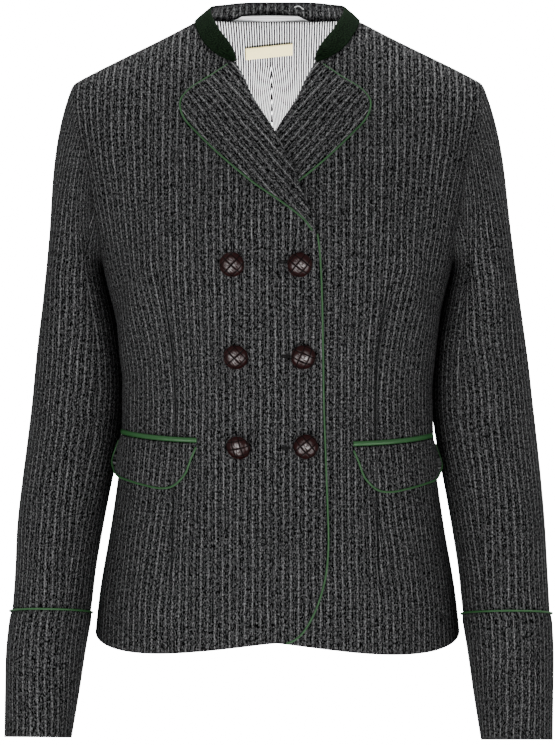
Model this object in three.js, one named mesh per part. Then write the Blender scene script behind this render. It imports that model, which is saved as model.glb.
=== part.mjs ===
// Trachten blazer: a short fitted double-breasted jacket of chalk-striped wool, filled out as if worn.
// Millimetres, Z up, the front faces -Y. "right" and "left" are the wearer's, so right is at -X.
// The origin lies at the neck, level with the shoulder points.
import * as THREE from "three";
import { mergeVertices } from "three/addons/utils/BufferGeometryUtils.js";

// Driving sizes
const CLOTH = 2; // wall of the wool with its interlining
const FELT = 2; // green collar cloth
const LINING = 1;
const SEAM = 0.3; // gap between neighbouring pieces
const HEM_SIDE = -581;
const HEM_SAG = 13; // how far the hem of a front dips between its rounded corner and the side seam
const HEM_SAG_HEIGHT = 60; // height over which that dip fades out
const UNDERARM = -215;
const NECK_X = 77; // where the shoulder seam meets the collar
const SHOULDER_TIP = { x: 198, z: -51 };
const SHOULDER_LINE_Y = 4;
const UNDERARM_BLEND = 60; // height below the underarm over which the shoulder form fades out
const BUTTON_X = 31; // half the distance between the two button columns
// shift: how far the pair stands from the middle; seat: from the front's true curve to the shank
const BUTTON_ROWS = [
  { z: -221, shift: -7.4, seat: -0.12 },
  { z: -307, shift: -4.6, seat: 0.3 },
  { z: -392, shift: -2, seat: 0.45 },
];
const BUTTON_DIAMETER = 23;
const BUTTON_HEIGHT = 9;
const PIPING = 2.4; // diameter of the green piping
const OVERLAP_LIFT = 1.6; // each front's shift off the common surface where they lie on each other
const CROSSING_LIFT = 5; // more of it where the upper front crosses the other lapel
const CAP_SPREAD = 0.42; // how far the sleeve head leaves outwards for each millimetre down
const COLLAR_SIDE = 0.4; // share of the collar's half length from the middle back to the shoulder seam
const COLLAR_SEAT = 0.07; // the collar starts this share of its height above its neck seam
const LAPEL_ROLL = 2.4; // how high the lapel's roll stands off its front
const FLAP_FREE = 6; // how far the flap's outer end hangs off the body
const LINING_PLEAT = 2.5;
const LAID_ON = 0.95; // from a panel's surface to a curved piece that lies on it
const LINING_EASE = 2.1; // from the back's inner side to the lining
const UNDERARM_EASE = 3; // the sleeve's extra room from the body under the arm
// Height over which the shoulders round off, beside the neck and at the shoulder tips
const SHOULDER_ROUND = {
  front: { neck: 220, tip: 92 },
  back: { neck: 150, tip: 92 },
};
const RIDGE_RISE = 20; // how far the shoulder line, carried on over the neck, would still rise

// Level sections of the body: half width at the sides, depth to the front and to the back
const BODY = [
  { z: -600, half: 180, front: 121, back: 128 },
  { z: -540, half: 173, front: 118, back: 123 },
  { z: -480, half: 162.5, front: 114, back: 112 },
  { z: -420, half: 154, front: 110, back: 97 },
  { z: -365, half: 151, front: 108, back: 86 },
  { z: -325, half: 152, front: 111, back: 86 },
  { z: -290, half: 156, front: 117, back: 90 },
  { z: -236, half: 167, front: 127, back: 98 },
  { z: -215, half: 172, front: 129, back: 101 },
  { z: -190, half: 180, front: 129, back: 104 },
  { z: -170, half: 185, front: 128, back: 105 },
  { z: -140, half: 190, front: 126, back: 106 },
  { z: -90, half: 200, front: 120, back: 104 },
  { z: 60, half: 215, front: 110, back: 92 },
];
const ROUNDNESS = 2.3; // exponent of the sections: 2 is an ellipse, more is squarer

// Height of the shoulder line over the distance from the middle
const RIDGE = [
  { x: 77, z: 9.6 },
  { x: 85, z: 5.6 },
  { x: 107, z: -5.8 },
  { x: 198, z: -51 },
  { x: 230, z: -72 },
];

// The armhole, from under the arm to the shoulder tip: distance from the middle on each panel
const ARMHOLE = [
  { q: 0, z: -215, front: 172, back: 172 },
  { q: 0.07, z: -208, front: 170.5, back: 172.5 },
  { q: 0.16, z: -195, front: 171.5, back: 175.5 },
  { q: 0.3, z: -170, front: 175, back: 179 },
  { q: 0.48, z: -140, front: 178.5, back: 182 },
  { q: 0.64, z: -112, front: 185, back: 187 },
  { q: 0.78, z: -88, front: 191, back: 191.5 },
  { q: 0.9, z: -67, front: 195.5, back: 195.5 },
  { q: 1, z: -51, front: 198, back: 198 },
];

// Inner edge of a front from the hem to the neck: x is positive past the middle.
// Up to the break it is the front edge, then the fold line of the lapel, then the neck seam.
const FRONT_EDGE = [
  { z: -575, x: 11, part: "hem" },
  { z: -572, x: 18.5, part: "hem" },
  { z: -565, x: 26, part: "hem" },
  { z: -554, x: 33, part: "hem" },
  { z: -537, x: 40.5, part: "edge" },
  { z: -512, x: 47, part: "edge" },
  { z: -485, x: 49.2, part: "edge" },
  { z: -455, x: 48.6, part: "edge" },
  { z: -405, x: 46.6, part: "edge" },
  { z: -355, x: 44.8, part: "edge" },
  { z: -305, x: 44, part: "edge" },
  { z: -260, x: 43.3, part: "edge" },
  { z: -232, x: 42.3, part: "edge" },
  { z: -211, x: 41, part: "edge" },
  { z: -198, x: 39.4, part: "edge" },
  { z: -191, x: 38, part: "fold" },
  { z: -168, x: 30.5, part: "fold" },
  { z: -145, x: 22, part: "fold" },
  { z: -122, x: 10.6, part: "fold" },
  { z: -99, x: -1.4, part: "fold" },
  { z: -80, x: -13, part: "fold" },
  { z: -60, x: -24.8, part: "fold" },
  { z: -33, x: -38, part: "neck" },
  { z: -28.5, x: -50, part: "neck" },
  { z: -21, x: -61, part: "neck" },
  { z: -10, x: -70, part: "neck" },
  { z: 9.6, x: -77, part: "neck" },
];

// Inner edge of a back from the hem up the middle seam, then along the neck seam
const BACK_NECK_Z = 12;
const BACK_SEAM_HEIGHTS = [
  -587, -562, -525, -485, -445, -405, -365, -325, -285, -250, -205, -175, -140, -100, -62, -28, 0, BACK_NECK_Z,
];
const BACK_EDGE = [
  ...BACK_SEAM_HEIGHTS.map((z) => ({ z, x: -SEAM / 2 })),
  { z: BACK_NECK_Z, x: -30 },
  { z: 11.5, x: -55 },
  { z: 9.6, x: -77 },
];

// The lapel: its free edge from the gorge to the break, beside its fold line
const LAPEL = [
  { t: 0, foldX: -38, foldZ: -33, edgeX: -40, edgeZ: -34.5 },
  { t: 0.1, foldX: -34, foldZ: -41, edgeX: -59.5, edgeZ: -47.5 },
  { t: 0.22, foldX: -28, foldZ: -52, edgeX: -79, edgeZ: -60 },
  { t: 0.32, foldX: -23.4, foldZ: -63, edgeX: -87.5, edgeZ: -71.5 },
  { t: 0.42, foldX: -15.8, foldZ: -76, edgeX: -84, edgeZ: -85.5 },
  { t: 0.52, foldX: -6.6, foldZ: -90, edgeX: -72, edgeZ: -99 },
  { t: 0.64, foldX: 3.2, foldZ: -107, edgeX: -47.5, edgeZ: -122.5 },
  { t: 0.76, foldX: 15, foldZ: -131, edgeX: -19.5, edgeZ: -145.5 },
  { t: 0.87, foldX: 26, foldZ: -156, edgeX: 8, edgeZ: -164 },
  { t: 0.95, foldX: 33.5, foldZ: -177, edgeX: 27.5, edgeZ: -179 },
  { t: 1, foldX: 37.5, foldZ: -190, edgeX: 36, edgeZ: -190 },
];

// Level sections of the sleeve below the cap: outer and inner distance from the middle,
// how much fuller the left sleeve hangs, the middle's y, half the depth, and the forearm's lean
const SLEEVE = [
  { z: -235, outer: 226, inner: 170.5, fuller: 6, mid: 8, depth: 60, lean: 0 },
  { z: -262, outer: 229.5, inner: 163.5, fuller: 6.5, mid: 13, depth: 60, lean: 0 },
  { z: -290, outer: 233.5, inner: 157.3, fuller: 7, mid: 18, depth: 59.5, lean: 0.01 },
  { z: -325, outer: 238, inner: 153.2, fuller: 7.5, mid: 21, depth: 59, lean: 0.03 },
  { z: -365, outer: 242, inner: 152.2, fuller: 8, mid: 19, depth: 58, lean: 0.07 },
  { z: -403, outer: 246, inner: 156.2, fuller: 8, mid: 11, depth: 56.5, lean: 0.12 },
  { z: -442, outer: 250, inner: 162.8, fuller: 7.5, mid: -1, depth: 55, lean: 0.16 },
  { z: -480, outer: 253, inner: 169.5, fuller: 7, mid: -14, depth: 53.5, lean: 0.19 },
  { z: -518, outer: 253.5, inner: 175.3, fuller: 8, mid: -27, depth: 52, lean: 0.21 },
  { z: -556, outer: 255, inner: 179.2, fuller: 8, mid: -39, depth: 50.5, lean: 0.21 },
  { z: -595, outer: 258.3, inner: 185.5, fuller: 6.2, mid: -50, depth: 49.5, lean: 0.21 },
  { z: -634, outer: 258.5, inner: 191, fuller: 5.2, mid: -59, depth: 48, lean: 0.21 },
  { z: -681, outer: 258.3, inner: 198.5, fuller: 4.4, mid: -69, depth: 46, lean: 0.21 },
];
const CUFF_TOP = -561;
const CUFF_END = -677;
const CUFF_PROUD = 1.8; // the turned-up cuff stands this far outside the sleeve
const FRONT_SLEEVE_SEAM = 120; // degrees from the outermost line, towards the front
const BACK_SLEEVE_SEAM = -80;

// Pocket flap: its upper and lower edge as distances from the middle; the welt lies along the upper one
const WELT_HEIGHT = 4.6;
const POCKET_DROP = { right: 3, left: 6 }; // how far each pocket hangs below the table's heights
const FLAP = [
  { s: 0, top: 73, topZ: -387.5, low: 80, lowZ: -405 },
  { s: 0.1, top: 80, topZ: -387.5, low: 84.5, lowZ: -416 },
  { s: 0.25, top: 91, topZ: -387.4, low: 95, lowZ: -427 },
  { s: 0.42, top: 104, topZ: -387.2, low: 107, lowZ: -430 },
  { s: 0.6, top: 118, topZ: -386.8, low: 121, lowZ: -428.5 },
  { s: 0.78, top: 132.5, topZ: -386.3, low: 136, lowZ: -426 },
  { s: 0.92, top: 142.8, topZ: -386, low: 147, lowZ: -422.5 },
  { s: 1, top: 148.3, topZ: -386, low: 150.5, lowZ: -412 },
];

// The stand collar: its neck seam and its upper edge, from the middle of the back to the gorge
const COLLAR = [
  { t: 0, x: 0, z: 12, y: "back", inward: 0, forward: 4, up: 18 },
  { t: 0.14, x: 30, z: 12, y: "back", inward: 2.5, forward: 4, up: 17.5 },
  { t: 0.28, x: 55, z: 11.5, y: "back", inward: 7.5, forward: 3, up: 15.5 },
  { t: 0.4, x: 77, z: 9.6, y: "front", inward: 13.5, forward: 0, up: 11.5 },
  { t: 0.56, x: 70, z: -10, y: "front", inward: 15, forward: 2, up: 10.5 },
  { t: 0.72, x: 61, z: -21, y: "front", inward: 15.5, forward: 3, up: 9 },
  { t: 0.86, x: 50, z: -28.5, y: "front", inward: 10, forward: 3, up: 7.5 },
  { t: 1, x: 38.5, z: -33, y: "front", inward: 1.5, forward: 1.5, up: 2.5 },
];

// Finishes
const finish = (color, roughness) => new THREE.MeshStandardMaterial({ color, roughness, metalness: 0 });
const WOOL = finish(0x2d2d2f, 0.9);
const FELT_GREEN = finish(0x14231a, 0.95);
const CORD_GREEN = finish(0x3c6e41, 0.6);
const STRIPED_LINING = finish(0xdedee0, 0.45);
const LABEL_CREAM = finish(0xefe6cf, 0.7);
const LEATHER = finish(0x3a1512, 0.35);

// Small helpers for numbers
const lerp = (a, b, t) => a + (b - a) * t;
const clamp01 = (t) => Math.min(1, Math.max(0, t));
const smooth = (t) => clamp01(t) ** 2 * (3 - 2 * clamp01(t));
const radians = (degrees) => (degrees * Math.PI) / 180;

// Reads one column of a table at a key, along a smooth curve through its rows
function column(table, key, name, at) {
  const rows = table[0][key] < table[table.length - 1][key] ? table : [...table].reverse();
  const last = rows.length - 1;
  if (at <= rows[0][key]) return rows[0][name];
  if (at >= rows[last][key]) return rows[last][name];
  const i = rows.findIndex((row) => row[key] > at) - 1;
  const slope = (k) => {
    const a = rows[Math.max(k - 1, 0)];
    const b = rows[Math.min(k + 1, last)];
    return (b[name] - a[name]) / (b[key] - a[key]);
  };
  const step = rows[i + 1][key] - rows[i][key];
  const t = (at - rows[i][key]) / step;
  const [p, q] = [rows[i][name], rows[i + 1][name]];
  const [m, n] = [slope(i) * step, slope(i + 1) * step];
  return p * (1 + 2 * t) * (1 - t) ** 2 + m * t * (1 - t) ** 2
    + q * t * t * (3 - 2 * t) - n * t * t * (1 - t);
}
function ridge(x) {
  const over = Math.max(0, 1 - (x / NECK_X) ** 2) * RIDGE_RISE;
  return column(RIDGE, "x", "z", Math.abs(x)) + over;
}
function roundHeight(x, side) {
  const { neck, tip } = SHOULDER_ROUND[side];
  return lerp(neck, tip, smooth((Math.abs(x) - NECK_X) / (SHOULDER_TIP.x - NECK_X)));
}

// How much of its full depth the body has at a height below the shoulder line
function shoulderShare(x, z, side) {
  const down = clamp01((ridge(x) - z) / roundHeight(x, side));
  return Math.sqrt(1 - (1 - down) ** 2);
}

// The point of the body's surface at x and z; side is "front" or "back"
function bodyPoint(x, z, side) {
  const half = column(BODY, "z", "half", z);
  const depth = column(BODY, "z", side, z);
  const across = Math.min(1, Math.abs(x) / half);
  const full = depth * (1 - across ** ROUNDNESS) ** (1 / ROUNDNESS);
  const facing = side === "front" ? -1 : 1;
  const rounded = (full - facing * SHOULDER_LINE_Y) * shoulderShare(x, z, side);
  const mix = smooth((z - UNDERARM) / UNDERARM_BLEND + 1);
  return new THREE.Vector3(x, facing * lerp(full, rounded + facing * SHOULDER_LINE_Y, mix), z);
}

// The outward direction there, from the slope of an implicit form of the same surface
function bodyNormal(p) {
  const field = (x, y, z) => {
    const side = y < SHOULDER_LINE_Y ? "front" : "back";
    const mix = smooth((z - UNDERARM) / UNDERARM_BLEND + 1);
    const half = column(BODY, "z", "half", z);
    const depth = column(BODY, "z", side, z);
    const down = (ridge(x) - z) / roundHeight(x, side);
    const round = down > 1 ? 1 : 1 - (1 - down) ** 2;
    const share = lerp(1, Math.sign(round) * Math.abs(round) ** (ROUNDNESS / 2), mix);
    const middle = SHOULDER_LINE_Y * mix;
    return (Math.abs(y - middle) / depth) ** ROUNDNESS - (1 - (Math.abs(x) / half) ** ROUNDNESS) * share;
  };
  const e = 0.6;
  return new THREE.Vector3(
    field(p.x + e, p.y, p.z) - field(p.x - e, p.y, p.z),
    field(p.x, p.y + e, p.z) - field(p.x, p.y - e, p.z),
    field(p.x, p.y, p.z + e) - field(p.x, p.y, p.z - e),
  ).normalize();
}
const lifted = (p, by) => p.clone().addScaledVector(bodyNormal(p), by);

// Angle from the middle at which a section reaches x, and back again
function angleAt(x, z) {
  const across = Math.min(1, Math.abs(x) / column(BODY, "z", "half", z));
  return Math.sign(x) * Math.asin(across ** (ROUNDNESS / 2));
}
function widthAt(angle, z) {
  const across = Math.abs(Math.sin(angle)) ** (2 / ROUNDNESS);
  return Math.sign(angle) * across * column(BODY, "z", "half", z);
}

// A closed cloth wall between an outer and an inner grid of points; loop joins its last column to its first
function clothWall(outer, inner, loop = false) {
  const rows = outer.length;
  const cols = outer[0].length;
  const points = [...outer.flat(), ...inner.flat()];
  const out = (j, i) => j * cols + (i % cols);
  const inn = (j, i) => rows * cols + j * cols + (i % cols);
  const index = [];
  const quad = (a, b, c, d) => index.push(a, b, c, a, c, d);
  const spans = loop ? cols : cols - 1;
  for (let j = 0; j < rows - 1; j += 1) {
    for (let i = 0; i < spans; i += 1) {
      quad(out(j, i), out(j, i + 1), out(j + 1, i + 1), out(j + 1, i));
      quad(inn(j, i), inn(j + 1, i), inn(j + 1, i + 1), inn(j, i + 1));
    }
    if (!loop) {
      quad(out(j, 0), out(j + 1, 0), inn(j + 1, 0), inn(j, 0));
      quad(out(j, cols - 1), inn(j, cols - 1), inn(j + 1, cols - 1), out(j + 1, cols - 1));
    }
  }
  for (let i = 0; i < spans; i += 1) {
    quad(out(0, i), inn(0, i), inn(0, i + 1), out(0, i + 1));
    quad(out(rows - 1, i), out(rows - 1, i + 1), inn(rows - 1, i + 1), inn(rows - 1, i));
  }
  return closedGeometry(points, index);
}

function closedGeometry(points, index) {
  let volume = 0;
  for (let i = 0; i < index.length; i += 3) {
    const [a, b, c] = [0, 1, 2].map((k) => points[index[i + k]]);
    volume += a.dot(new THREE.Vector3().crossVectors(b, c));
  }
  const geometry = new THREE.BufferGeometry().setFromPoints(points);
  geometry.setIndex(volume < 0 ? index.reverse() : index);
  return mergeVertices(geometry, 1e-4);
}

const group = new THREE.Group();
function add(name, geometry, material) {
  const mesh = new THREE.Mesh(geometry, material);
  mesh.name = name;
  group.add(mesh);
}
const SIDES = [
  { side: "right", sign: -1 },
  { side: "left", sign: 1 },
];

// How far the fronts part from the common surface near the middle: the right front lies on top
function overlapLift(x, z, sign) {
  if (sign === 0) return 0;
  const near = smooth((78 - Math.abs(x)) / 24);
  const top = smooth((-36 - z) / 50);
  const crossing = Math.exp(-(((x - 12) / 55) ** 2) - (((z + 128) / 55) ** 2));
  return sign < 0 ? near * top * OVERLAP_LIFT + CROSSING_LIFT * crossing : -near * top * OVERLAP_LIFT;
}
function frontPoint(x, z, sign, out = 0) {
  const p = bodyPoint(x, z, "front");
  return lifted(p, overlapLift(x, z, sign) + out);
}

// A panel of the body: rows run from its inner edge to the side seam, and above the underarm to the armhole
const PANEL_COLUMNS = 9;
const SIDE_SEAM_ANGLE = Math.PI / 2 - 0.0015;
function panelGrid(edges, side, pointAt) {
  const armpitRow = edges.findIndex((row) => row.z > UNDERARM);
  const last = edges.length - 1;
  return edges.map((edge, j) => {
    const below = j < armpitRow;
    const q = clamp01((j - armpitRow) / (last - armpitRow));
    const hemShare = (edge.z - edges[0].z) / (edges[armpitRow].z - edges[0].z);
    const outerZ = below ? lerp(HEM_SIDE, UNDERARM, hemShare) : column(ARMHOLE, "q", "z", q);
    const sag = side === "front" ? HEM_SAG * (1 - smooth((edge.z - edges[0].z) / HEM_SAG_HEIGHT)) : 0;
    const outerX = column(ARMHOLE, "q", side, q) - SEAM / 2;
    const from = angleAt(-edge.x, edge.z);
    const to = q === 0 ? SIDE_SEAM_ANGLE : angleAt(outerX, outerZ);
    const row = [];
    for (let i = 0; i <= PANEL_COLUMNS; i += 1) {
      const s = i / PANEL_COLUMNS;
      const straight = lerp(edge.z, outerZ, s) - sag * Math.sin(Math.PI * s);
      const x = widthAt(lerp(from, to, s), straight);
      const onRidge = j === last;
      const z = onRidge ? ridge(x) : Math.min(straight, ridge(x) - 0.8);
      const p = pointAt(x, z);
      if (onRidge) p.y += (side === "front" ? -SEAM : SEAM) / 2;
      row.push(p);
    }
    return row;
  });
}

// Fronts: the right one laps over the left one and carries the two button columns
for (const { side, sign } of SIDES) {
  const grid = (out) => panelGrid(FRONT_EDGE, "front", (x, z) => frontPoint(sign * x, z, sign, out));
  add(`front_${side}`, clothWall(grid(0), grid(-CLOTH)), WOOL);
}

// Backs: joined by a seam down the middle
for (const { side, sign } of SIDES) {
  const grid = (out) => panelGrid(BACK_EDGE, "back", (x, z) => lifted(bodyPoint(sign * x, z, "back"), out));
  add(`back_${side}`, clothWall(grid(0), grid(-CLOTH)), WOOL);
}

// Sleeves: angle 0 is the outermost line, 90 the front, 180 the line along the body.
// Length 0 to 1 is the cap, from the armhole to the first level section, and 1 to 2 the arm.
function levelRing(angle, z, sign) {
  const [usual, inner, fuller] = ["outer", "inner", "fuller"].map((name) => column(SLEEVE, "z", name, z));
  const outer = sign > 0 ? usual + fuller : usual;
  const [mid, depth, lean] = ["mid", "depth", "lean"].map((name) => column(SLEEVE, "z", name, z));
  const forward = depth * Math.sin(radians(angle));
  const x = (outer + inner) / 2 + ((outer - inner) / 2) * Math.cos(radians(angle));
  return new THREE.Vector3(x, mid - forward, z + lean * forward);
}
function armholePoint(angle) {
  const turned = angle > 180 ? angle - 360 : angle;
  const side = turned >= 0 ? "front" : "back";
  const q = 1 - Math.abs(turned) / 180;
  const x = column(ARMHOLE, "q", side, q);
  const p = bodyPoint(x, column(ARMHOLE, "q", "z", q), side);
  return p.setX(x + SEAM + UNDERARM_EASE * smooth((Math.abs(turned) - 60) / 60));
}
function sleevePoint(angle, length, sign) {
  if (length > 1) return levelRing(angle, lerp(SLEEVE[0].z, CUFF_TOP, length - 1), sign);
  const from = armholePoint(angle);
  const to = levelRing(angle, SLEEVE[0].z, sign);
  const span = from.distanceTo(to);
  const out = CAP_SPREAD * (0.5 + 0.5 * Math.cos(radians(angle)));
  const leave = new THREE.Vector3(out, -0.12 * Math.sin(radians(angle)), -1).setLength(span);
  const arrive = levelRing(angle, SLEEVE[0].z - 5, sign).sub(to).setLength(span);
  const t = length;
  return from.multiplyScalar((1 + 2 * t) * (1 - t) ** 2)
    .addScaledVector(leave, t * (1 - t) ** 2)
    .addScaledVector(to, t * t * (3 - 2 * t))
    .addScaledVector(arrive, t * t * (t - 1));
}
function ringNormal(pointAt, angle, length, sign, highest) {
  const [turn, step] = [1, 0.01];
  const around = pointAt(angle + turn, length, sign).sub(pointAt(angle - turn, length, sign));
  const along = pointAt(angle, Math.min(highest, length + step), sign)
    .sub(pointAt(angle, Math.max(0, length - step), sign));
  return new THREE.Vector3().crossVectors(along, around).normalize();
}
const sleeveNormal = (angle, length, sign) => ringNormal(sleevePoint, angle, length, sign, 2);

function mirrored(p, sign) {
  return p.setX(sign * p.x);
}
const SEAM_TURN = 0.18; // degrees between a sleeve piece's edge and its seam
const CAP_ROWS = 6;
const ARM_ROWS = 10;
const SLEEVE_PIECES = [
  { name: "sleeve_upper", from: BACK_SLEEVE_SEAM, to: FRONT_SLEEVE_SEAM, columns: 10 },
  { name: "sleeve_under", from: FRONT_SLEEVE_SEAM, to: BACK_SLEEVE_SEAM + 360, columns: 7 },
];
for (const { side, sign } of SIDES) {
  for (const { name, from, to, columns } of SLEEVE_PIECES) {
    const grid = (out) => {
      const rows = [];
      for (let j = 0; j <= CAP_ROWS + ARM_ROWS; j += 1) {
        const length = j <= CAP_ROWS ? j / CAP_ROWS : 1 + (j - CAP_ROWS) / ARM_ROWS;
        const row = [];
        for (let i = 0; i <= columns; i += 1) {
          const angle = lerp(from + SEAM_TURN, to - SEAM_TURN, i / columns);
          const p = sleevePoint(angle, length, sign).addScaledVector(sleeveNormal(angle, length, sign), out);
          row.push(mirrored(p, sign));
        }
        rows.push(row);
      }
      return rows;
    };
    add(`${name}_${side}`, clothWall(grid(0), grid(-CLOTH)), WOOL);
  }
}

// Cuffs: turned up, one closed band a little proud of the sleeve, with piping along the top
const CUFF_COLUMNS = 20;
const CUFF_ROWS = 4;
const cuffPoint = (angle, length, sign) => levelRing(angle, lerp(CUFF_TOP, CUFF_END, length), sign);
const cuffNormal = (angle, length, sign) => ringNormal(cuffPoint, angle, length, sign, 1);
function cuffGrid(sign, out) {
  const rows = [];
  for (let j = 0; j <= CUFF_ROWS; j += 1) {
    const length = lerp(SEAM / (CUFF_TOP - CUFF_END), 1, j / CUFF_ROWS);
    const row = [];
    for (let i = 0; i < CUFF_COLUMNS; i += 1) {
      const angle = (360 * i) / CUFF_COLUMNS;
      const p = cuffPoint(angle, length, sign).addScaledVector(cuffNormal(angle, length, sign), out);
      row.push(mirrored(p, sign));
    }
    rows.push(row);
  }
  return rows;
}

// A round cord of piping along a curve; a closed one is a ring without ends
const PIPING_SIDES = 5;
function piping(points, steps, closed = false) {
  const path = new THREE.CatmullRomCurve3(points, closed, "centripetal");
  const section = new THREE.Shape();
  for (let i = 0; i < PIPING_SIDES; i += 1) {
    const turn = (2 * Math.PI * i) / PIPING_SIDES;
    const corner = [(PIPING / 2) * Math.cos(turn), (PIPING / 2) * Math.sin(turn)];
    if (i === 0) section.moveTo(...corner);
    else section.lineTo(...corner);
  }
  const cord = closed
    ? new THREE.TubeGeometry(path, steps, PIPING / 2, PIPING_SIDES, true)
    : new THREE.ExtrudeGeometry(section, { steps, extrudePath: path, bevelEnabled: false });
  cord.deleteAttribute("normal");
  cord.deleteAttribute("uv");
  return mergeVertices(cord, 1e-3);
}
const PIPING_SEAT = PIPING / 2 + SEAM; // from what it lies against to its middle
const CURVED_SEAT = PIPING / 2 + LAID_ON + 0.1;
const EDGE_SEAT = PIPING_SEAT + 1.5 * SEAM;

for (const { side, sign } of SIDES) {
  add(`cuff_${side}`, clothWall(cuffGrid(sign, CUFF_PROUD), cuffGrid(sign, CUFF_PROUD - CLOTH), true), WOOL);
  const ring = [];
  for (let angle = 0; angle < 360; angle += 20) {
    const p = levelRing(angle, CUFF_TOP, sign).addScaledVector(cuffNormal(angle, 0, sign), CURVED_SEAT + SEAM);
    p.z += CURVED_SEAT - SEAM;
    ring.push(mirrored(p, sign));
  }
  add(`piping_cuff_${side}`, piping(ring, 26, true), CORD_GREEN);
}

// Stand collar: felt outside and wool inside, from gorge to gorge round the back of the neck
function collarPoint(t, height) {
  const at = Math.abs(t);
  const [x, z, inward, forward, up] = ["x", "z", "inward", "forward", "up"]
    .map((name) => column(COLLAR, "t", name, at));
  const p = bodyPoint(x, z, at < COLLAR_SIDE ? "back" : "front");
  const lift = COLLAR_SEAT + height * (1 - COLLAR_SEAT);
  p.add(new THREE.Vector3(-inward, -forward, up).multiplyScalar(lift));
  return p.setX(Math.sign(t) * p.x);
}
function collarNormal(t, height) {
  const around = collarPoint(Math.min(1, t + 0.02), height).sub(collarPoint(Math.max(-1, t - 0.02), height));
  const rise = collarPoint(t, 1).sub(collarPoint(t, 0));
  return new THREE.Vector3().crossVectors(rise, around).normalize();
}
const COLLAR_STEPS = 26;
const COLLAR_HEIGHTS = [0, 0.5, 1];
function collarGrid(out) {
  const rows = [];
  for (let j = 0; j <= COLLAR_STEPS; j += 1) {
    const t = lerp(-1, 1, j / COLLAR_STEPS);
    const row = COLLAR_HEIGHTS.map((h) => collarPoint(t, h).addScaledVector(collarNormal(t, h), out));
    rows.push(row);
  }
  return rows;
}
add("collar_stand", clothWall(collarGrid(FELT + SEAM / 2), collarGrid(SEAM / 2)), FELT_GREEN);
add("collar_inner", clothWall(collarGrid(-SEAM / 2), collarGrid(-SEAM / 2 - CLOTH)), WOOL);

// Lapels: folded back on their fronts, and their piping along the free edge
const LAPEL_COLUMNS = 5;
const LAPEL_STEPS = 14;
const LAPEL_THICK = 2.4;
const LAPEL_SEAT = 0.5; // from the front's surface to the lapel's underside
const LAPEL_START = 0.02; // just clear of the collar's end
function lapelPoint(t, s, sign, out) {
  const [foldX, foldZ, edgeX, edgeZ] = ["foldX", "foldZ", "edgeX", "edgeZ"]
    .map((name) => column(LAPEL, "t", name, t));
  const rollHeight = LAPEL_ROLL * (sign < 0 ? 1 : 1 - smooth((t - 0.3) / 0.2)) * Math.sin(Math.PI * t);
  const roll = rollHeight * smooth(s / 0.3) * (1 - 0.7 * smooth((s - 0.4) / 0.6));
  return frontPoint(-sign * lerp(foldX, edgeX, s), lerp(foldZ, edgeZ, s), sign, LAPEL_SEAT + roll + out);
}
function lapelGrid(sign, end, out) {
  const rows = [];
  for (let j = 0; j <= LAPEL_STEPS; j += 1) {
    const row = [];
    for (let i = 0; i <= LAPEL_COLUMNS; i += 1) {
      row.push(lapelPoint(lerp(LAPEL_START, end, j / LAPEL_STEPS), i / LAPEL_COLUMNS, sign, out));
    }
    rows.push(row);
  }
  return rows;
}
const UNDER_LAPEL_END = 0.76; // the left lapel is followed to just under the right front
for (const { side, sign } of SIDES) {
  const end = sign < 0 ? 1 : UNDER_LAPEL_END;
  add(`lapel_${side}`, clothWall(lapelGrid(sign, end, LAPEL_THICK), lapelGrid(sign, end, 0)), WOOL);
  const edge = [];
  for (let j = 0; j <= 16; j += 1) {
    const t = lerp(LAPEL_START, end - LAPEL_START, j / 16);
    const p = lapelPoint(t, 1, sign, LAPEL_THICK / 2);
    const along = lapelPoint(t + 0.01, 1, sign, 0).sub(lapelPoint(t - 0.01, 1, sign, 0));
    const outward = new THREE.Vector3().crossVectors(along, bodyNormal(p)).multiplyScalar(-sign);
    edge.push(p.add(outward.setLength(CURVED_SEAT)));
  }
  add(`piping_lapel_${side}`, piping(edge, 24), CORD_GREEN);
}

// The right front's edge piping runs from the break to the rounded corner at the hem
const edgeRows = FRONT_EDGE.filter((row) => row.part === "hem" || row.part === "edge").reverse();
const edgeLine = edgeRows.map((row, j) => {
  const next = edgeRows[Math.min(j + 1, edgeRows.length - 1)];
  const previous = edgeRows[Math.max(j - 1, 0)];
  const along = new THREE.Vector2(next.x - previous.x, next.z - previous.z).normalize();
  const x = row.x - along.y * EDGE_SEAT;
  return frontPoint(x, row.z + along.x * EDGE_SEAT, -1, -CLOTH / 2);
});
add("piping_edge_right", piping(edgeLine, 30), CORD_GREEN);

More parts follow.
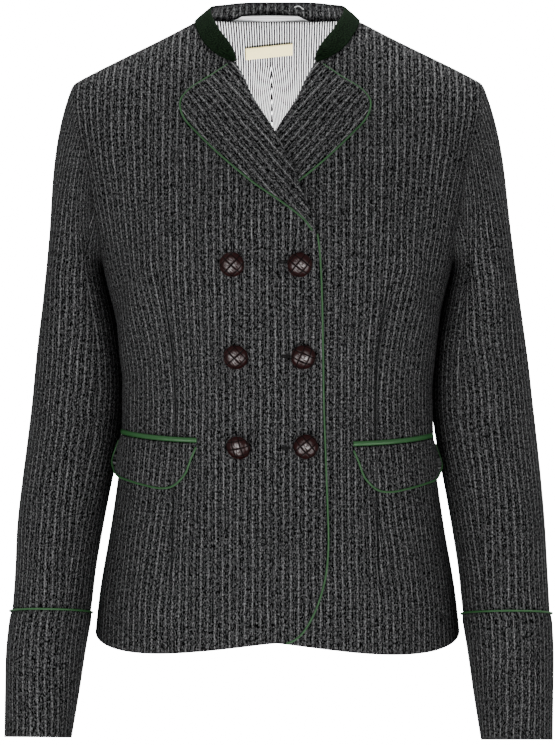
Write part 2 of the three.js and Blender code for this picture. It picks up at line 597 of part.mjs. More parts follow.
// Pockets: a green welt over a flap that hangs a little free towards the side, its lower edge piped
const POCKET_COLUMNS = 8;
const FLAP_ROWS = 3;
const FLAP_THICK = 1.8;
function flapPoint(s, v, sign, out) {
  const [top, topZ, low, lowZ] = ["top", "topZ", "low", "lowZ"].map((name) => column(FLAP, "s", name, s));
  const free = 0.9 * v + FLAP_FREE * s ** 3 * v;
  const z = lerp(topZ, lowZ, v) - (sign < 0 ? POCKET_DROP.right : POCKET_DROP.left);
  return frontPoint(sign * lerp(top, low, v), z, 0, LAID_ON + free + out);
}
const gridOf = (rows, columns, pointAt) => Array.from({ length: rows + 1 }, (_, j) =>
  Array.from({ length: columns + 1 }, (_, i) => pointAt(j / rows, i / columns)));
for (const { side, sign } of SIDES) {
  const weltPoint = (v, s, out) => {
    const [top, topZ] = ["top", "topZ"].map((name) => column(FLAP, "s", name, s));
    const z = topZ + LAID_ON + WELT_HEIGHT * (1 - v) - POCKET_DROP[side];
    return frontPoint(sign * top, z, 0, LAID_ON + out);
  };
  const welt = (out) => gridOf(1, POCKET_COLUMNS, (v, s) => weltPoint(v, s, out));
  add(`welt_${side}`, clothWall(welt(FLAP_THICK), welt(0)), CORD_GREEN);
  const flap = (out) => gridOf(FLAP_ROWS, POCKET_COLUMNS, (v, s) => flapPoint(s, v, sign, out));
  add(`flap_${side}`, clothWall(flap(FLAP_THICK), flap(0)), WOOL);
  const rim = [];
  for (let k = 0; k <= 20; k += 1) {
    const around = lerp(-0.16, 1.12, k / 20);
    const [s, v] = [clamp01(around), around < 0 ? 1 + around * 5 : around > 1 ? 1 - (around - 1) * 6.5 : 1];
    const p = flapPoint(s, v, sign, FLAP_THICK / 2);
    const centre = flapPoint(0.5, 0.2, sign, FLAP_THICK / 2);
    const away = around < 0 || around > 1 ? flapPoint(0.5, v, sign, FLAP_THICK / 2) : centre;
    rim.push(p.add(p.clone().sub(away).setLength(CURVED_SEAT + 2 * SEAM)));
  }
  add(`piping_flap_${side}`, piping(rim, 26), CORD_GREEN);
}

// Buttons: leather domes on short shanks, two columns of three on the right front
const BUTTON_PROFILE = [
  { r: 0, h: 0 },
  { r: 0.26, h: 0 },
  { r: 0.26, h: 0.18 },
  { r: 0.8, h: 0.2 },
  { r: 1, h: 0.42 },
  { r: 0.92, h: 0.68 },
  { r: 0.6, h: 0.92 },
  { r: 0, h: 1 },
];
const BUTTON_SEGMENTS = 14;
for (const [row, { z, shift, seat }] of BUTTON_ROWS.entries()) {
  for (const sign of [-1, 1]) {
    const profile = BUTTON_PROFILE.map(({ r, h }) => new THREE.Vector2((r * BUTTON_DIAMETER) / 2, h * BUTTON_HEIGHT));
    const dome = new THREE.LatheGeometry(profile, BUTTON_SEGMENTS);
    dome.deleteAttribute("normal");
    dome.deleteAttribute("uv");
    const place = frontPoint(shift + sign * BUTTON_X, z, -1);
    const axis = bodyNormal(place);
    dome.applyQuaternion(new THREE.Quaternion().setFromUnitVectors(new THREE.Vector3(0, 1, 0), axis));
    place.addScaledVector(axis, seat);
    dome.translate(place.x, place.y, place.z);
    add(`button_${sign < 0 ? "right" : "left"}_${row + 1}`, mergeVertices(dome, 1e-4), LEATHER);
  }
}

// Lining of the back, with the ease pleat down its middle
const LINING_COLUMNS = 16;
const HANGER_COLUMNS = 10;
const LABEL_COLUMNS = 6;
const LINING_ROWS = 14;
const LINING_END = HEM_SIDE + 22;
const LINING_DEPTH = CLOTH + LINING_EASE; // from the surface to the lining
function liningPoint(v, s, out) {
  const toUnderarm = 0.36;
  const across = 2 * s - 1;
  const q = clamp01((v - toUnderarm) / (1 - toUnderarm));
  const outerZ = v < toUnderarm ? lerp(LINING_END, UNDERARM, v / toUnderarm) : lerp(UNDERARM, SHOULDER_TIP.z - 3, q);
  const outerX = v < toUnderarm
    ? column(BODY, "z", "half", outerZ) * 0.97
    : column(ARMHOLE, "z", "back", outerZ) - 6 - 4 * (1 - q);
  const x = widthAt(across * angleAt(outerX, outerZ), outerZ);
  const cap = Math.min(BACK_NECK_Z - SEAM, ridge(x) - 4);
  const z = v < toUnderarm ? outerZ : lerp(UNDERARM, cap, q);
  const pleat = LINING_PLEAT * Math.exp(-((x / 8) ** 2)) * smooth((-20 - z) / 60);
  return lifted(bodyPoint(x, z, "back"), -LINING_DEPTH - pleat - out);
}
const lining = (out) => gridOf(LINING_ROWS, LINING_COLUMNS, (v, s) => liningPoint(v, s, out));
add("lining_back", clothWall(lining(0), lining(LINING)), STRIPED_LINING);

// Hanger loop: it lies along the foot of the collar, a little to the right of the middle
const HANGER = { from: -0.22, to: 0.14, low: 0, high: 0.29, bow: 0.05 }; // shares of the collar's length and height
const hangerPoint = (v, s, out) => {
  const t = lerp(HANGER.from, HANGER.to, s);
  const height = lerp(HANGER.low, HANGER.high, v) + HANGER.bow * Math.sin(Math.PI * s);
  return collarPoint(t, height).addScaledVector(collarNormal(t, height), -SEAM / 2 - CLOTH - LAID_ON - out);
};
const hanger = (out) => gridOf(1, HANGER_COLUMNS, (v, s) => hangerPoint(v, s, out));
add("hanger_loop", clothWall(hanger(0), hanger(LINING)), STRIPED_LINING);

// Label: bare, sewn to the lining below the collar, a little to the right and slanted
const LABEL = { x: -9, z: -13.5, width: 46, height: 11.5, tilt: 0.1, thick: 0.6 };
const LABEL_SEAT = LINING_DEPTH + LINING + 2 * LAID_ON + SEAM;
const labelPoint = (v, s, out) => {
  const across = LABEL.width * (s - 0.5);
  const z = LABEL.z + LABEL.height * (v - 0.5) + LABEL.tilt * across;
  return lifted(bodyPoint(LABEL.x + across, z, "back"), -LABEL_SEAT - out);
};
const label = (out) => gridOf(1, LABEL_COLUMNS, (v, s) => labelPoint(v, s, out));
add("label", clothWall(label(0), label(LABEL.thick)), LABEL_CREAM);

export default group;
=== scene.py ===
"""A trachten blazer of chalk-striped wool, dressed piece by piece on its own fixed frame."""
import math

import bpy
import mathutils
import numpy as np
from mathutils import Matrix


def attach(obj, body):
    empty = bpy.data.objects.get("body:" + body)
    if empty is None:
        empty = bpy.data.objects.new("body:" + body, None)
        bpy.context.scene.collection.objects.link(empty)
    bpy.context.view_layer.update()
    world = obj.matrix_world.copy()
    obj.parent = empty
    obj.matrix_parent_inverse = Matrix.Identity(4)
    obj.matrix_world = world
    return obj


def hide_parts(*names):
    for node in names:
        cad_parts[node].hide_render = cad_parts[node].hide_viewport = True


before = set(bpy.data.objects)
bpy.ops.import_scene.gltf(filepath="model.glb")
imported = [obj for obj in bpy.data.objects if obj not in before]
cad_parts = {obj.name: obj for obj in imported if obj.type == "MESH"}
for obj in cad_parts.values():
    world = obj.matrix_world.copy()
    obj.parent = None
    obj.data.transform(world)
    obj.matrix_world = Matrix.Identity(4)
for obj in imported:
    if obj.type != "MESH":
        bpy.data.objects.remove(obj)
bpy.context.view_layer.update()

# The form of the fronts and the backs.
# The jacket is cut on a general figure: level sections of the body, a rounded shoulder over them,
# and two fronts and two backs that share that one surface. Sizes here are millimetres.
CLOTH = 2.0  # thickness of a wall of wool and lining
SEAM = 0.3  # gap of the seam down the middle of the back
HEM_SIDE = -581.0
UNDERARM = -215.0
NECK_X = 77.0  # where the shoulder line starts beside the neck
TIP_X = 198.0  # and where it ends
SHOULDER_LINE_Y = 4.0
UNDERARM_BLEND = 60.0
ROUNDNESS = 2.3
RIDGE_RISE = 20.0
SIDES = (("right", -1), ("left", 1))  # the wearer's
ROUND_HEIGHT = {-1: (220.0, 92.0), 1: (150.0, 92.0)}  # beside the neck, at the tip; -1 is the front


def table(names, *rows):
    return dict(zip(names.split(), np.array(rows, float).T))


BODY = table(
    "z half front back",
    (-600, 180, 121, 128),
    (-540, 173, 118, 123),
    (-480, 162.5, 114, 112),
    (-420, 154, 110, 97),
    (-365, 151, 108, 86),
    (-325, 152, 111, 86),
    (-290, 156, 117, 90),
    (-236, 167, 127, 98),
    (-215, 172, 129, 101),
    (-190, 180, 129, 104),
    (-170, 185, 128, 105),
    (-140, 190, 126, 106),
    (-90, 200, 120, 104),
    (60, 215, 110, 92),
)
RIDGE = table("x z", (77, 9.6), (85, 5.6), (107, -5.8), (198, -51), (230, -72))
ARMHOLE = table(
    "q z front back",
    (0, -215, 172, 172),
    (0.07, -208, 170.5, 172.5),
    (0.16, -195, 171.5, 175.5),
    (0.3, -170, 175, 179),
    (0.48, -140, 178.5, 182),
    (0.64, -112, 185, 187),
    (0.78, -88, 191, 191.5),
    (0.9, -67, 195.5, 195.5),
    (1, -51, 198, 198),
)


def read(rows, key, name, at):
    """One column of a table at a key, along a smooth curve through its rows."""
    keys, values = rows[key], rows[name]
    if keys[0] > keys[-1]:
        keys, values = keys[::-1], values[::-1]
    slope = np.empty(len(keys))
    slope[1:-1] = (values[2:] - values[:-2]) / (keys[2:] - keys[:-2])
    slope[0] = (values[1] - values[0]) / (keys[1] - keys[0])
    slope[-1] = (values[-1] - values[-2]) / (keys[-1] - keys[-2])
    at = np.clip(at, keys[0], keys[-1])
    i = np.clip(np.searchsorted(keys, at, side="right") - 1, 0, len(keys) - 2)
    step = keys[i + 1] - keys[i]
    t = (at - keys[i]) / step
    return (
        values[i] * (1 + 2 * t) * (1 - t) ** 2
        + slope[i] * step * t * (1 - t) ** 2
        + values[i + 1] * t * t * (3 - 2 * t)
        - slope[i + 1] * step * t * t * (1 - t)
    )


def lerp(a, b, t):
    return a + (b - a) * t


def smooth(t):
    t = np.clip(t, 0, 1)
    return t * t * (3 - 2 * t)


def ridge(x):
    over = np.maximum(0, 1 - (x / NECK_X) ** 2) * RIDGE_RISE
    return read(RIDGE, "x", "z", np.abs(x)) + over


def body_point(x, z, facing):
    """The surface at x and z; facing is -1 on the front and 1 on the back."""
    x, z = np.broadcast_arrays(np.asarray(x, float), np.asarray(z, float))
    half = read(BODY, "z", "half", z)
    depth = read(BODY, "z", "front" if facing < 0 else "back", z)
    full = depth * (1 - np.minimum(1, np.abs(x) / half) ** ROUNDNESS) ** (1 / ROUNDNESS)
    neck, tip = ROUND_HEIGHT[facing]
    height = lerp(neck, tip, smooth((np.abs(x) - NECK_X) / (TIP_X - NECK_X)))
    down = np.clip((ridge(x) - z) / height, 0, 1)
    middle = facing * SHOULDER_LINE_Y
    rounded = (full - middle) * np.sqrt(1 - (1 - down) ** 2) + middle
    mix = smooth((z - UNDERARM) / UNDERARM_BLEND + 1)
    return np.stack([x, facing * lerp(full, rounded, mix), z], -1)


def angle_at(x, z):
    across = np.minimum(1, np.abs(x) / read(BODY, "z", "half", z))
    return np.sign(x) * np.arcsin(across ** (ROUNDNESS / 2))


def width_at(angle, z):
    return np.sign(angle) * np.abs(np.sin(angle)) ** (2 / ROUNDNESS) * read(BODY, "z", "half", z)


def unit(v):
    return v / np.maximum(np.linalg.norm(v, axis=-1, keepdims=True), 1e-9)


def turned_out(normals, points, centre):
    return normals if np.sum(normals * (points - centre)) > 0 else -normals


def grid_normals(points, centre):
    """Normals of a grid, turned away from a centre."""
    rows, cols = np.gradient(points, axis=0), np.gradient(points, axis=1)
    return turned_out(unit(np.cross(rows, cols)), points, centre)


def body_normals(x, z, facing):
    """Normals of the body's surface, from its slopes; the surface is met a little below the shoulder line."""
    e = 0.8
    z = np.minimum(z, ridge(x) - 2 * e)
    px = body_point(x + e, z, facing) - body_point(x - e, z, facing)
    pz = body_point(x, z + e, facing) - body_point(x, z - e, facing)
    return unit(np.cross(pz, px) * facing)


def girth(angle, z, facing):
    """Length round a level section from the middle to an angle."""
    steps = np.linspace(0, 1, 33)
    a = np.abs(angle)[..., None] * steps
    x = width_at(a, z[..., None])
    depth = read(BODY, "z", "front" if facing < 0 else "back", z)[..., None]
    y = depth * np.cos(a) ** (2 / ROUNDNESS)
    return np.sign(angle) * np.sum(np.hypot(np.diff(x), np.diff(y)), axis=-1)


def run_along(points, axis):
    """How far the points of a grid or a line lie from its first ones, measured along an axis."""
    step = np.linalg.norm(np.diff(points, axis=axis), axis=-1)
    start = np.zeros_like(np.take(step, [0], axis=axis))
    return np.concatenate([start, np.cumsum(step, axis=axis)], axis=axis)


def add_mesh(name, points, faces, uvs=None, materials=(), looks=None):
    """A mesh from points and UV maps in millimetres, faces, materials, and the material of each face."""
    mesh = bpy.data.meshes.new(name)
    mesh.from_pydata((np.asarray(points) * 0.001).tolist(), [], [list(map(int, f)) for f in faces])
    for uv_name, uv in (uvs or {}).items():
        layer = mesh.uv_layers.new(name=uv_name)
        corners = np.empty(len(mesh.loops), int)
        mesh.loops.foreach_get("vertex_index", corners)
        layer.uv.foreach_set("vector", np.asarray(uv, float)[corners].astype(np.float32).ravel())
    for material in materials:
        mesh.materials.append(material)
    if looks is not None:
        mesh.polygons.foreach_set("material_index", np.asarray(looks, np.int32))
    mesh.polygons.foreach_set("use_smooth", [True] * len(mesh.polygons))
    mesh.update()
    piece = bpy.data.objects.new(name, mesh)
    bpy.context.scene.collection.objects.link(piece)
    return piece


def grain_map(across, along, **others):
    """UV maps of a piece: its grain, and others given as pairs."""
    pairs = {"grain": (across, along), **others}
    return {name: np.stack(np.broadcast_arrays(*pair), -1) for name, pair in pairs.items()}


def cloth_wall(name, outer, inner, uvs, materials, loop=False):
    """A closed cloth wall between two grids; its inner faces take the second material."""
    rows, cols = outer.shape[:2]
    points = np.concatenate([outer.reshape(-1, 3), inner.reshape(-1, 3)])
    spans = cols if loop else cols - 1
    j, i = np.meshgrid(np.arange(rows - 1), np.arange(spans), indexing="ij")
    i2 = (i + 1) % cols
    a, b, c, d = j * cols + i, j * cols + i2, (j + 1) * cols + i2, (j + 1) * cols + i
    quads = np.stack([a, b, c, d], -1).reshape(-1, 4)
    n = rows * cols
    faces = [quads, (quads + n)[:, ::-1]]
    k = np.arange(spans)
    k2 = (k + 1) % cols
    top = (rows - 1) * cols
    faces.append(np.stack([k, k + n, k2 + n, k2], -1))
    faces.append(np.stack([top + k, top + k2, top + k2 + n, top + k + n], -1))
    if not loop:
        m = np.arange(rows - 1) * cols
        faces.append(np.stack([m, m + cols, m + cols + n, m + n], -1))
        e = m + cols - 1
        faces.append(np.stack([e, e + n, e + cols + n, e + cols], -1))
    looks = np.concatenate([np.full(len(f), 1 if q == 1 else 0) for q, f in enumerate(faces)])
    faces = np.concatenate(faces)
    p0, p1, p2 = (points[faces[:, q]] for q in (0, 1, 2))
    if np.sum(p0 * np.cross(p1, p2)) < 0:
        faces = faces[:, ::-1]
    doubled = {key: np.concatenate([uv.reshape(-1, 2)] * 2) for key, uv in uvs.items()}
    return add_mesh(name, points, faces, doubled, materials, looks)


def wear(piece, node, slot, **sheet):
    """Fixes a piece on the root frame in place of its solid, if it has one, and hides that solid; its slot
    and, for cloth, its cut are not used.
    """
    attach(piece, "root")
    if node:
        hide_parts(node)


# Shader helpers: a material is reckoned with values, and a shared effect is a node group.
def feed(value, socket):
    """Sets a socket to a number or a colour, or links a value to it."""
    if isinstance(value, Value):
        value.tree.links.new(value.socket, socket)
    else:
        socket.default_value = (*value, 1) if isinstance(value, tuple) else value


def add_node(tree, kind, values=None, **links):
    node = tree.nodes.new(kind)
    for key, value in (values or {}).items():
        if key in node.inputs:
            node.inputs[key].default_value = value
        else:
            setattr(node, key, value)
    for key, value in links.items():
        feed(value, node.inputs[key])
    return node


class Value:
    """A number, vector or colour inside a material; numbers are reckoned with as in Python."""

    def __init__(self, tree, socket):
        self.tree, self.socket = tree, socket

    def calc(self, operation, *operands):
        node = add_node(self.tree, "ShaderNodeMath", {"operation": operation})
        for value, socket in zip((self, *operands), node.inputs):
            feed(value, socket)
        return Value(self.tree, node.outputs[0])

    def __add__(self, other):
        return self.calc("ADD", other)

    def __sub__(self, other):
        return self.calc("SUBTRACT", other)

    def __mul__(self, other):
        return self.calc("MULTIPLY", other)

    def __truediv__(self, other):
        return self.calc("DIVIDE", other)

    def wave(self):
        return self.calc("SINE")

    def off_middle(self):
        """How far a value is from the middle between two whole numbers."""
        return (self.calc("FRACT") - 0.5).calc("ABSOLUTE")

    def mask(self, low, high):
        """A soft step from 0 at low to 1 at high."""
        values = {"interpolation_type": "SMOOTHSTEP", "From Min": low, "From Max": high}
        node = add_node(self.tree, "ShaderNodeMapRange", values, Value=self)
        return Value(self.tree, node.outputs["Result"])


def blend_colour(share, first, second):
    tree = next(value.tree for value in (share, first) if isinstance(value, Value))
    node = add_node(tree, "ShaderNodeMix", {"data_type": "RGBA"})
    for value, place in ((share, 0), (first, 6), (second, 7)):  # the places of a colour mix
        feed(value, node.inputs[place])
    return Value(tree, node.outputs[2])


def noise(grain, across, along, detail=2.0):
    """Noise over the cloth, so many waves a millimetre across the grain and along it."""
    place = add_node(grain.tree, "ShaderNodeMapping", {"Scale": (across, along, 1.0)}, Vector=grain)
    vector = Value(grain.tree, place.outputs["Vector"])
    node = add_node(grain.tree, "ShaderNodeTexNoise", {"Scale": 1.0, "Detail": detail}, Vector=vector)
    return Value(grain.tree, node.outputs["Fac"])


def parts(vector):
    split = add_node(vector.tree, "ShaderNodeSeparateXYZ", Vector=vector)
    return Value(vector.tree, split.outputs["X"]), Value(vector.tree, split.outputs["Y"])


def uv_map(tree, name="grain"):
    """A UV map of a piece, whole and in its two parts."""
    whole = Value(tree, add_node(tree, "ShaderNodeUVMap", {"uv_map": name}).outputs["UV"])
    return (whole, *parts(whole))


def new_material(name, roughness, specular=0.25, sheen=0.0, tint=(1, 1, 1)):
    material = bpy.data.materials.new(name)
    material.use_nodes = True
    shader = material.node_tree.nodes["Principled BSDF"]
    for key, value in (("Roughness", roughness), ("Specular IOR Level", specular), ("Sheen Weight", sheen),
                       ("Sheen Roughness", 0.5), ("Sheen Tint", tint)):
        feed(value, shader.inputs[key])
    return material, material.node_tree, shader


def surface(tree, shader, colour, height, depth, strength):
    """A shader's colour, and its relief from a height map, so many metres deep."""
    feed(colour, shader.inputs["Base Color"])
    relief = add_node(tree, "ShaderNodeBump", {"Distance": depth, "Strength": strength}, Height=height)
    tree.links.new(relief.outputs["Normal"], shader.inputs["Normal"])


# The chalk-striped wool: a dark heathered ground, broken chalk lines every 7 mm with finer, dimmer
# ones between them, and a short nap. The lines follow the grain that each piece was cut on.
STRIPE_PITCH = 7.1
GROUND_DARK = (0.0005, 0.0005, 0.0006)
GROUND_LIGHT = (0.055, 0.055, 0.057)
CHALK = (0.46, 0.46, 0.465)
DART_SHADE = (0.001, 0.001, 0.0012)  # painted shade along the line of a dart
# painted shade: the colour that darkens wool lying in shade
PAINTED_SHADE = (0.001, 0.001, 0.001)


def make_stripe_group():
    group = bpy.data.node_groups.new("chalk_stripes", "ShaderNodeTree")
    for name, way, kind in (("Grain", "INPUT", "Vector"), ("Color", "OUTPUT", "Color"),
                            ("Height", "OUTPUT", "Float")):
        group.interface.new_socket(name=name, in_out=way, socket_type="NodeSocket" + kind)
    given, result = group.nodes.new("NodeGroupInput"), group.nodes.new("NodeGroupOutput")
    grain = Value(group, given.outputs["Grain"])
    x, y = parts(grain)
    across = x + (noise(grain, 0.035, 0.025) - 0.5) * 3.0 + (noise(grain, 0.3, 0.14) - 0.5) * 0.9

    def line(spacing, shift, soft):
        return ((across / spacing + shift).off_middle() * spacing).mask(soft, 0.1)

    every_other = (across / (2 * STRIPE_PITCH)).off_middle().mask(0.2, 0.3)
    drift = noise(grain, 0.16, 0.02).mask(0.3, 0.7) * 0.58 + 0.42
    broken = noise(grain, 0.8, 0.5).mask(0.36, 0.6) * ((every_other * 0.38 + 0.62) * drift)
    main = line(STRIPE_PITCH, 0.0, 0.8) * broken
    fine = line(STRIPE_PITCH / 3, 0.5, 0.7) * noise(grain, 0.85, 0.4).mask(0.44, 0.64)
    flecks = noise(grain, 0.7, 0.5).mask(0.57, 0.66)
    heather = noise(grain, 0.76, 0.26).mask(0.48, 0.61)
    chalk = (main + (fine * 0.3 + flecks * 0.34)).calc("MINIMUM", 1.0)
    twill = ((across + y) * 5.2).wave()
    feed(blend_colour(chalk, blend_colour(heather, GROUND_DARK, GROUND_LIGHT), CHALK), result.inputs["Color"])
    feed(main * 0.5 + heather * 0.5 + twill * 0.18, result.inputs["Height"])
    return group


chalk_stripes = make_stripe_group()


def make_wool(name, shade_darts=False, shaded=0.0):
    """The striped wool, which can show painted shade along the lines of its darts and can be darkened all
    over by a share of painted shade.
    """
    material, tree, shader = new_material(name, 0.95, specular=0.02)
    stripes = add_node(tree, "ShaderNodeGroup", {"node_tree": chalk_stripes})
    feed(uv_map(tree)[0], stripes.inputs["Grain"])
    colour = Value(tree, stripes.outputs["Color"])
    # painted shade along the lines of the darts, where the cloth sinks into their valleys
    if shade_darts:
        _, off, shown = uv_map(tree, "lines")
        colour = blend_colour(off.calc("ABSOLUTE").mask(1.5, 0.3) * shown * 0.8, colour, DART_SHADE)
    # painted shade darkens the whole wool by the given share
    if shaded:
        colour = blend_colour(shaded, colour, PAINTED_SHADE)
    surface(tree, shader, colour, Value(tree, stripes.outputs["Height"]), 0.00035, 0.7)
    return material


wool = make_wool("striped_wool")
panel_wool = make_wool("striped_wool_panels", shade_darts=True)
# the wool inside the collar is darkened with painted shade
inner_wool = make_wool("striped_wool_inside", shaded=0.58)


# The two fronts.
# Each is one panel from the hem to the shoulder seam, shaped by a long waist dart; the right one
# laps over the left one and ends in a rounded corner at the hem. Wool outside, lining inside.
FRONT_EDGE = table(
    "z x",
    (-575, 11), (-572, 18.5), (-565, 26), (-554, 33), (-537, 40.5), (-512, 47), (-485, 49.2),
    (-455, 48.6), (-405, 46.6), (-355, 44.8), (-305, 44), (-260, 43.3), (-232, 42.3), (-211, 41),
    (-198, 39.4), (-191, 38), (-168, 30.5), (-145, 22), (-122, 10.6), (-99, -1.4), (-80, -13),
    (-60, -24.8), (-33, -38), (-28.5, -50), (-21, -61), (-10, -70), (9.6, -77),
)
DART = table(
    "z x width",
    (-226, 109, 0), (-262, 102.5, 7), (-305, 96.5, 15), (-350, 94.5, 19), (-400, 95, 17),
    (-455, 96.5, 11), (-510, 98, 4), (-548, 99, 0),
)
HEM_SAG = 13.0  # how far the hem dips between its rounded corner and the side seam
HEM_SAG_HEIGHT = 60.0
DART_INSIDE = 0.35  # share of a dart's width taken from the cloth nearer the middle
OVERLAP_LIFT = 1.6
OVERLAP_REACH = 78  # the fronts lie on each other up to this far from the middle
OVERLAP_TOP = -36
CROSSING_LIFT = 5.0
CROSSING = (12, -128, 55)  # x, z and reach of the place where the lapels cross
SEAM_DIP = 0.75  # a pressed seam sinks this far
SEAM_REACH = 2.2
DART_VALLEY = 1.1  # a pressed dart sinks this far
DART_REACH = 3.2
GRAIN_START = 40.0  # where the fronts' lines start from


def overlap_lift(x, z, sign):
    """The right front (sign -1) is lifted where it lies on the left one, which sinks as much."""
    apart = smooth((OVERLAP_REACH - np.abs(x)) / 24) * smooth((OVERLAP_TOP - z) / 50) * OVERLAP_LIFT
    cx, cz, reach = CROSSING
    crossing = CROSSING_LIFT * np.exp(-(((x - cx) / reach) ** 2) - ((z - cz) / reach) ** 2)
    return apart + crossing if sign < 0 else -apart


def front_point(x, z, sign, out=0.0):
    x, z = np.broadcast_arrays(np.asarray(x, float), np.asarray(z, float))
    lift = overlap_lift(x, z, sign) if sign else 0.0
    lift = np.asarray(lift + out)[..., None]
    return body_point(x, z, -1) + body_normals(x, z, -1) * lift


def crease_depth(rows, x, z):
    """Soft troughs and ridges: each row is one, with its place, slant, length, width and depth."""
    total = np.zeros_like(x)
    for cx, cz, slant, length, width, depth in rows:
        turn = math.radians(slant)
        along = (x - cx) * math.sin(turn) + (z - cz) * math.cos(turn)
        across = (x - cx) * math.cos(turn) - (z - cz) * math.sin(turn)
        total += depth * np.exp(-((along / length) ** 2) - (across / width) ** 2)
    return total


# x, z, slant in degrees from upright, length, width, depth (troughs are negative)
FRONT_CREASES = (
    (-148, -245, 14, 55, 9, -2.2),
    (-133, -262, 18, 60, 10, 1.6),
    (-120, -300, 12, 48, 8, -1.4),
    (-140, -330, 62, 26, 7, -1.1),
    (-137, -352, 70, 24, 6, 0.9),
    (150, -238, -16, 50, 10, -2.0),
    (132, -255, -20, 62, 10, 1.7),
    (118, -310, -10, 44, 9, -1.2),
    (141, -338, -64, 24, 7, -1.2),
    (-60, -500, 6, 60, 16, -1.4),
    (-128, -505, -8, 55, 14, 1.8),
    (126, -498, 8, 58, 14, 1.8),
    (66, -515, -5, 52, 15, -1.3),
    (-118, -95, 34, 40, 12, -1.6),
    (122, -92, -32, 42, 12, -1.6),
    (-160, -120, 8, 40, 9, 1.4),
    (160, -116, -10, 38, 9, 1.4),
    (-14, -250, 84, 26, 7, 0.8),
    (-6, -340, 82, 24, 6, -0.7),
)


def refined(count, edge, last=True):
    """Evenly spaced shares of 0 to 1 with a few more close to the ends, where seams are pressed."""
    near = np.array([0, 0.25, 0.55, 1.0]) * edge
    even = np.linspace(near[-1], 1 - near[-1] if last else 1, count)
    return np.concatenate([near[:-1], even] + ([1 - near[:-1][::-1]] if last else []))


def by_index(values, r):
    return read({"k": np.arange(len(values), dtype=float), "v": values}, "k", "v", r)


def panel_grid(edges, facing, rows, cols):
    """Distances from the middle and heights of a panel's points, from its inner edge outwards."""
    last = len(edges["z"]) - 1
    armpit = int(np.argmax(edges["z"] > UNDERARM))
    top = last - np.array([0.72, 0.5, 0.32, 0.19, 0.1, 0.04, 0.012, 0.0])
    r = np.concatenate([refined(rows, 0.02, last=False) * (last - 1), top])
    inner_x, inner_z = by_index(edges["x"], r), by_index(edges["z"], r)
    q = np.clip((r - armpit) / (last - armpit), 0, 1)
    share = (inner_z - edges["z"][0]) / (edges["z"][armpit] - edges["z"][0])
    outer_z = np.where(r <= armpit, lerp(HEM_SIDE, UNDERARM, share), read(ARMHOLE, "q", "z", q))
    outer_x = read(ARMHOLE, "q", "front" if facing < 0 else "back", q)
    start = angle_at(-inner_x, inner_z)
    stop = np.where(r <= armpit, math.pi / 2, angle_at(outer_x, outer_z))
    s = refined(cols, 0.018)
    sag = HEM_SAG * (1 - smooth((inner_z - inner_z[0]) / HEM_SAG_HEIGHT)) if facing < 0 else 0 * inner_z
    straight = lerp(inner_z[:, None], outer_z[:, None], s) - sag[:, None] * np.sin(np.pi * s)
    angle = lerp(start[:, None], stop[:, None], s)
    x = width_at(angle, straight)
    rise = np.clip(r - (last - 1), 0, 1)[:, None]
    z = straight + rise * (ridge(x) - lerp(inner_z[-1], outer_z[-1], s))
    return x, np.minimum(z, ridge(x))


def seam_dip(points):
    """Nearness of a grid's points, 0 to 1, to seams at its last column and row, then its first ones."""
    def falloff(axis, reverse):
        away = np.flip(run_along(np.flip(points, axis), axis), axis) if reverse else run_along(points, axis)
        return np.exp(-((away / SEAM_REACH) ** 2))
    return falloff(1, True), falloff(0, True), falloff(1, False), falloff(0, False)


def dart_grain(x, z, facing, dart):
    """Grain across the cloth, distance from the dart's line, and how plainly the line shows."""
    length = girth(angle_at(x, z), z, facing)
    dart_at = girth(angle_at(read(dart, "z", "x", z), z), z, facing)
    taken = read(dart, "z", "width", z)
    inside = DART_INSIDE * taken * np.clip(length / dart_at, 0, 1) ** 3
    across = length + np.where(length > dart_at, taken, inside)
    across = lerp(across, x, smooth((z + 190) / 130))  # over the chest the cloth hangs straight
    return across, length - dart_at, smooth(taken / 5.0)


def dart_valley(dart_off, shown):
    return -DART_VALLEY * np.exp(-((dart_off / DART_REACH) ** 2)) * shown


SATIN_WHITE = (0.92, 0.92, 0.93)
SATIN_LINE = (0.001, 0.001, 0.002)


def make_lining(name, pitch=2.5, depth=1.0, turned=False):
    """White satin lining with fine grey lines, which run across the grain when it is turned."""
    material, tree, shader = new_material(name, 0.7, specular=0.04)
    grain, x, y = uv_map(tree)
    grey = ((y if turned else x) / pitch).off_middle().mask(0.38, 0.315) * depth
    slub = noise(grain, 1.2, 0.25)
    colour = blend_colour(grey * (slub * 0.38 + 0.8), SATIN_WHITE, SATIN_LINE)
    surface(tree, shader, colour, slub, 0.0001, 0.4)
    return material


striped_lining = make_lining("striped_lining")

for side, sign in SIDES:
    x, z = panel_grid(FRONT_EDGE, -1, 96, 54)
    across, dart_off, shown = dart_grain(x, z, -1, DART)
    outer = front_point(sign * x, z, sign)
    at_side, at_top, _, _ = seam_dip(outer)
    normals = body_normals(sign * x, z, -1)
    creased = crease_depth(FRONT_CREASES, sign * x, z) * (1 - np.maximum(at_side, at_top))
    moved = creased + dart_valley(dart_off, shown) - SEAM_DIP * (at_side + at_top)
    outer = outer + normals * moved[..., None]
    piece = cloth_wall(f"front_{side}_cloth", outer, outer - normals * CLOTH,
                       grain_map(across * -sign + GRAIN_START, z, lines=(dart_off, shown)),
                       [panel_wool, striped_lining])
    wear(piece, f"front_{side}", "striped_wool", flat=(0.30, 0.62), area=0.125, held="stretched",
         rests_on=[f"back_{side}"])


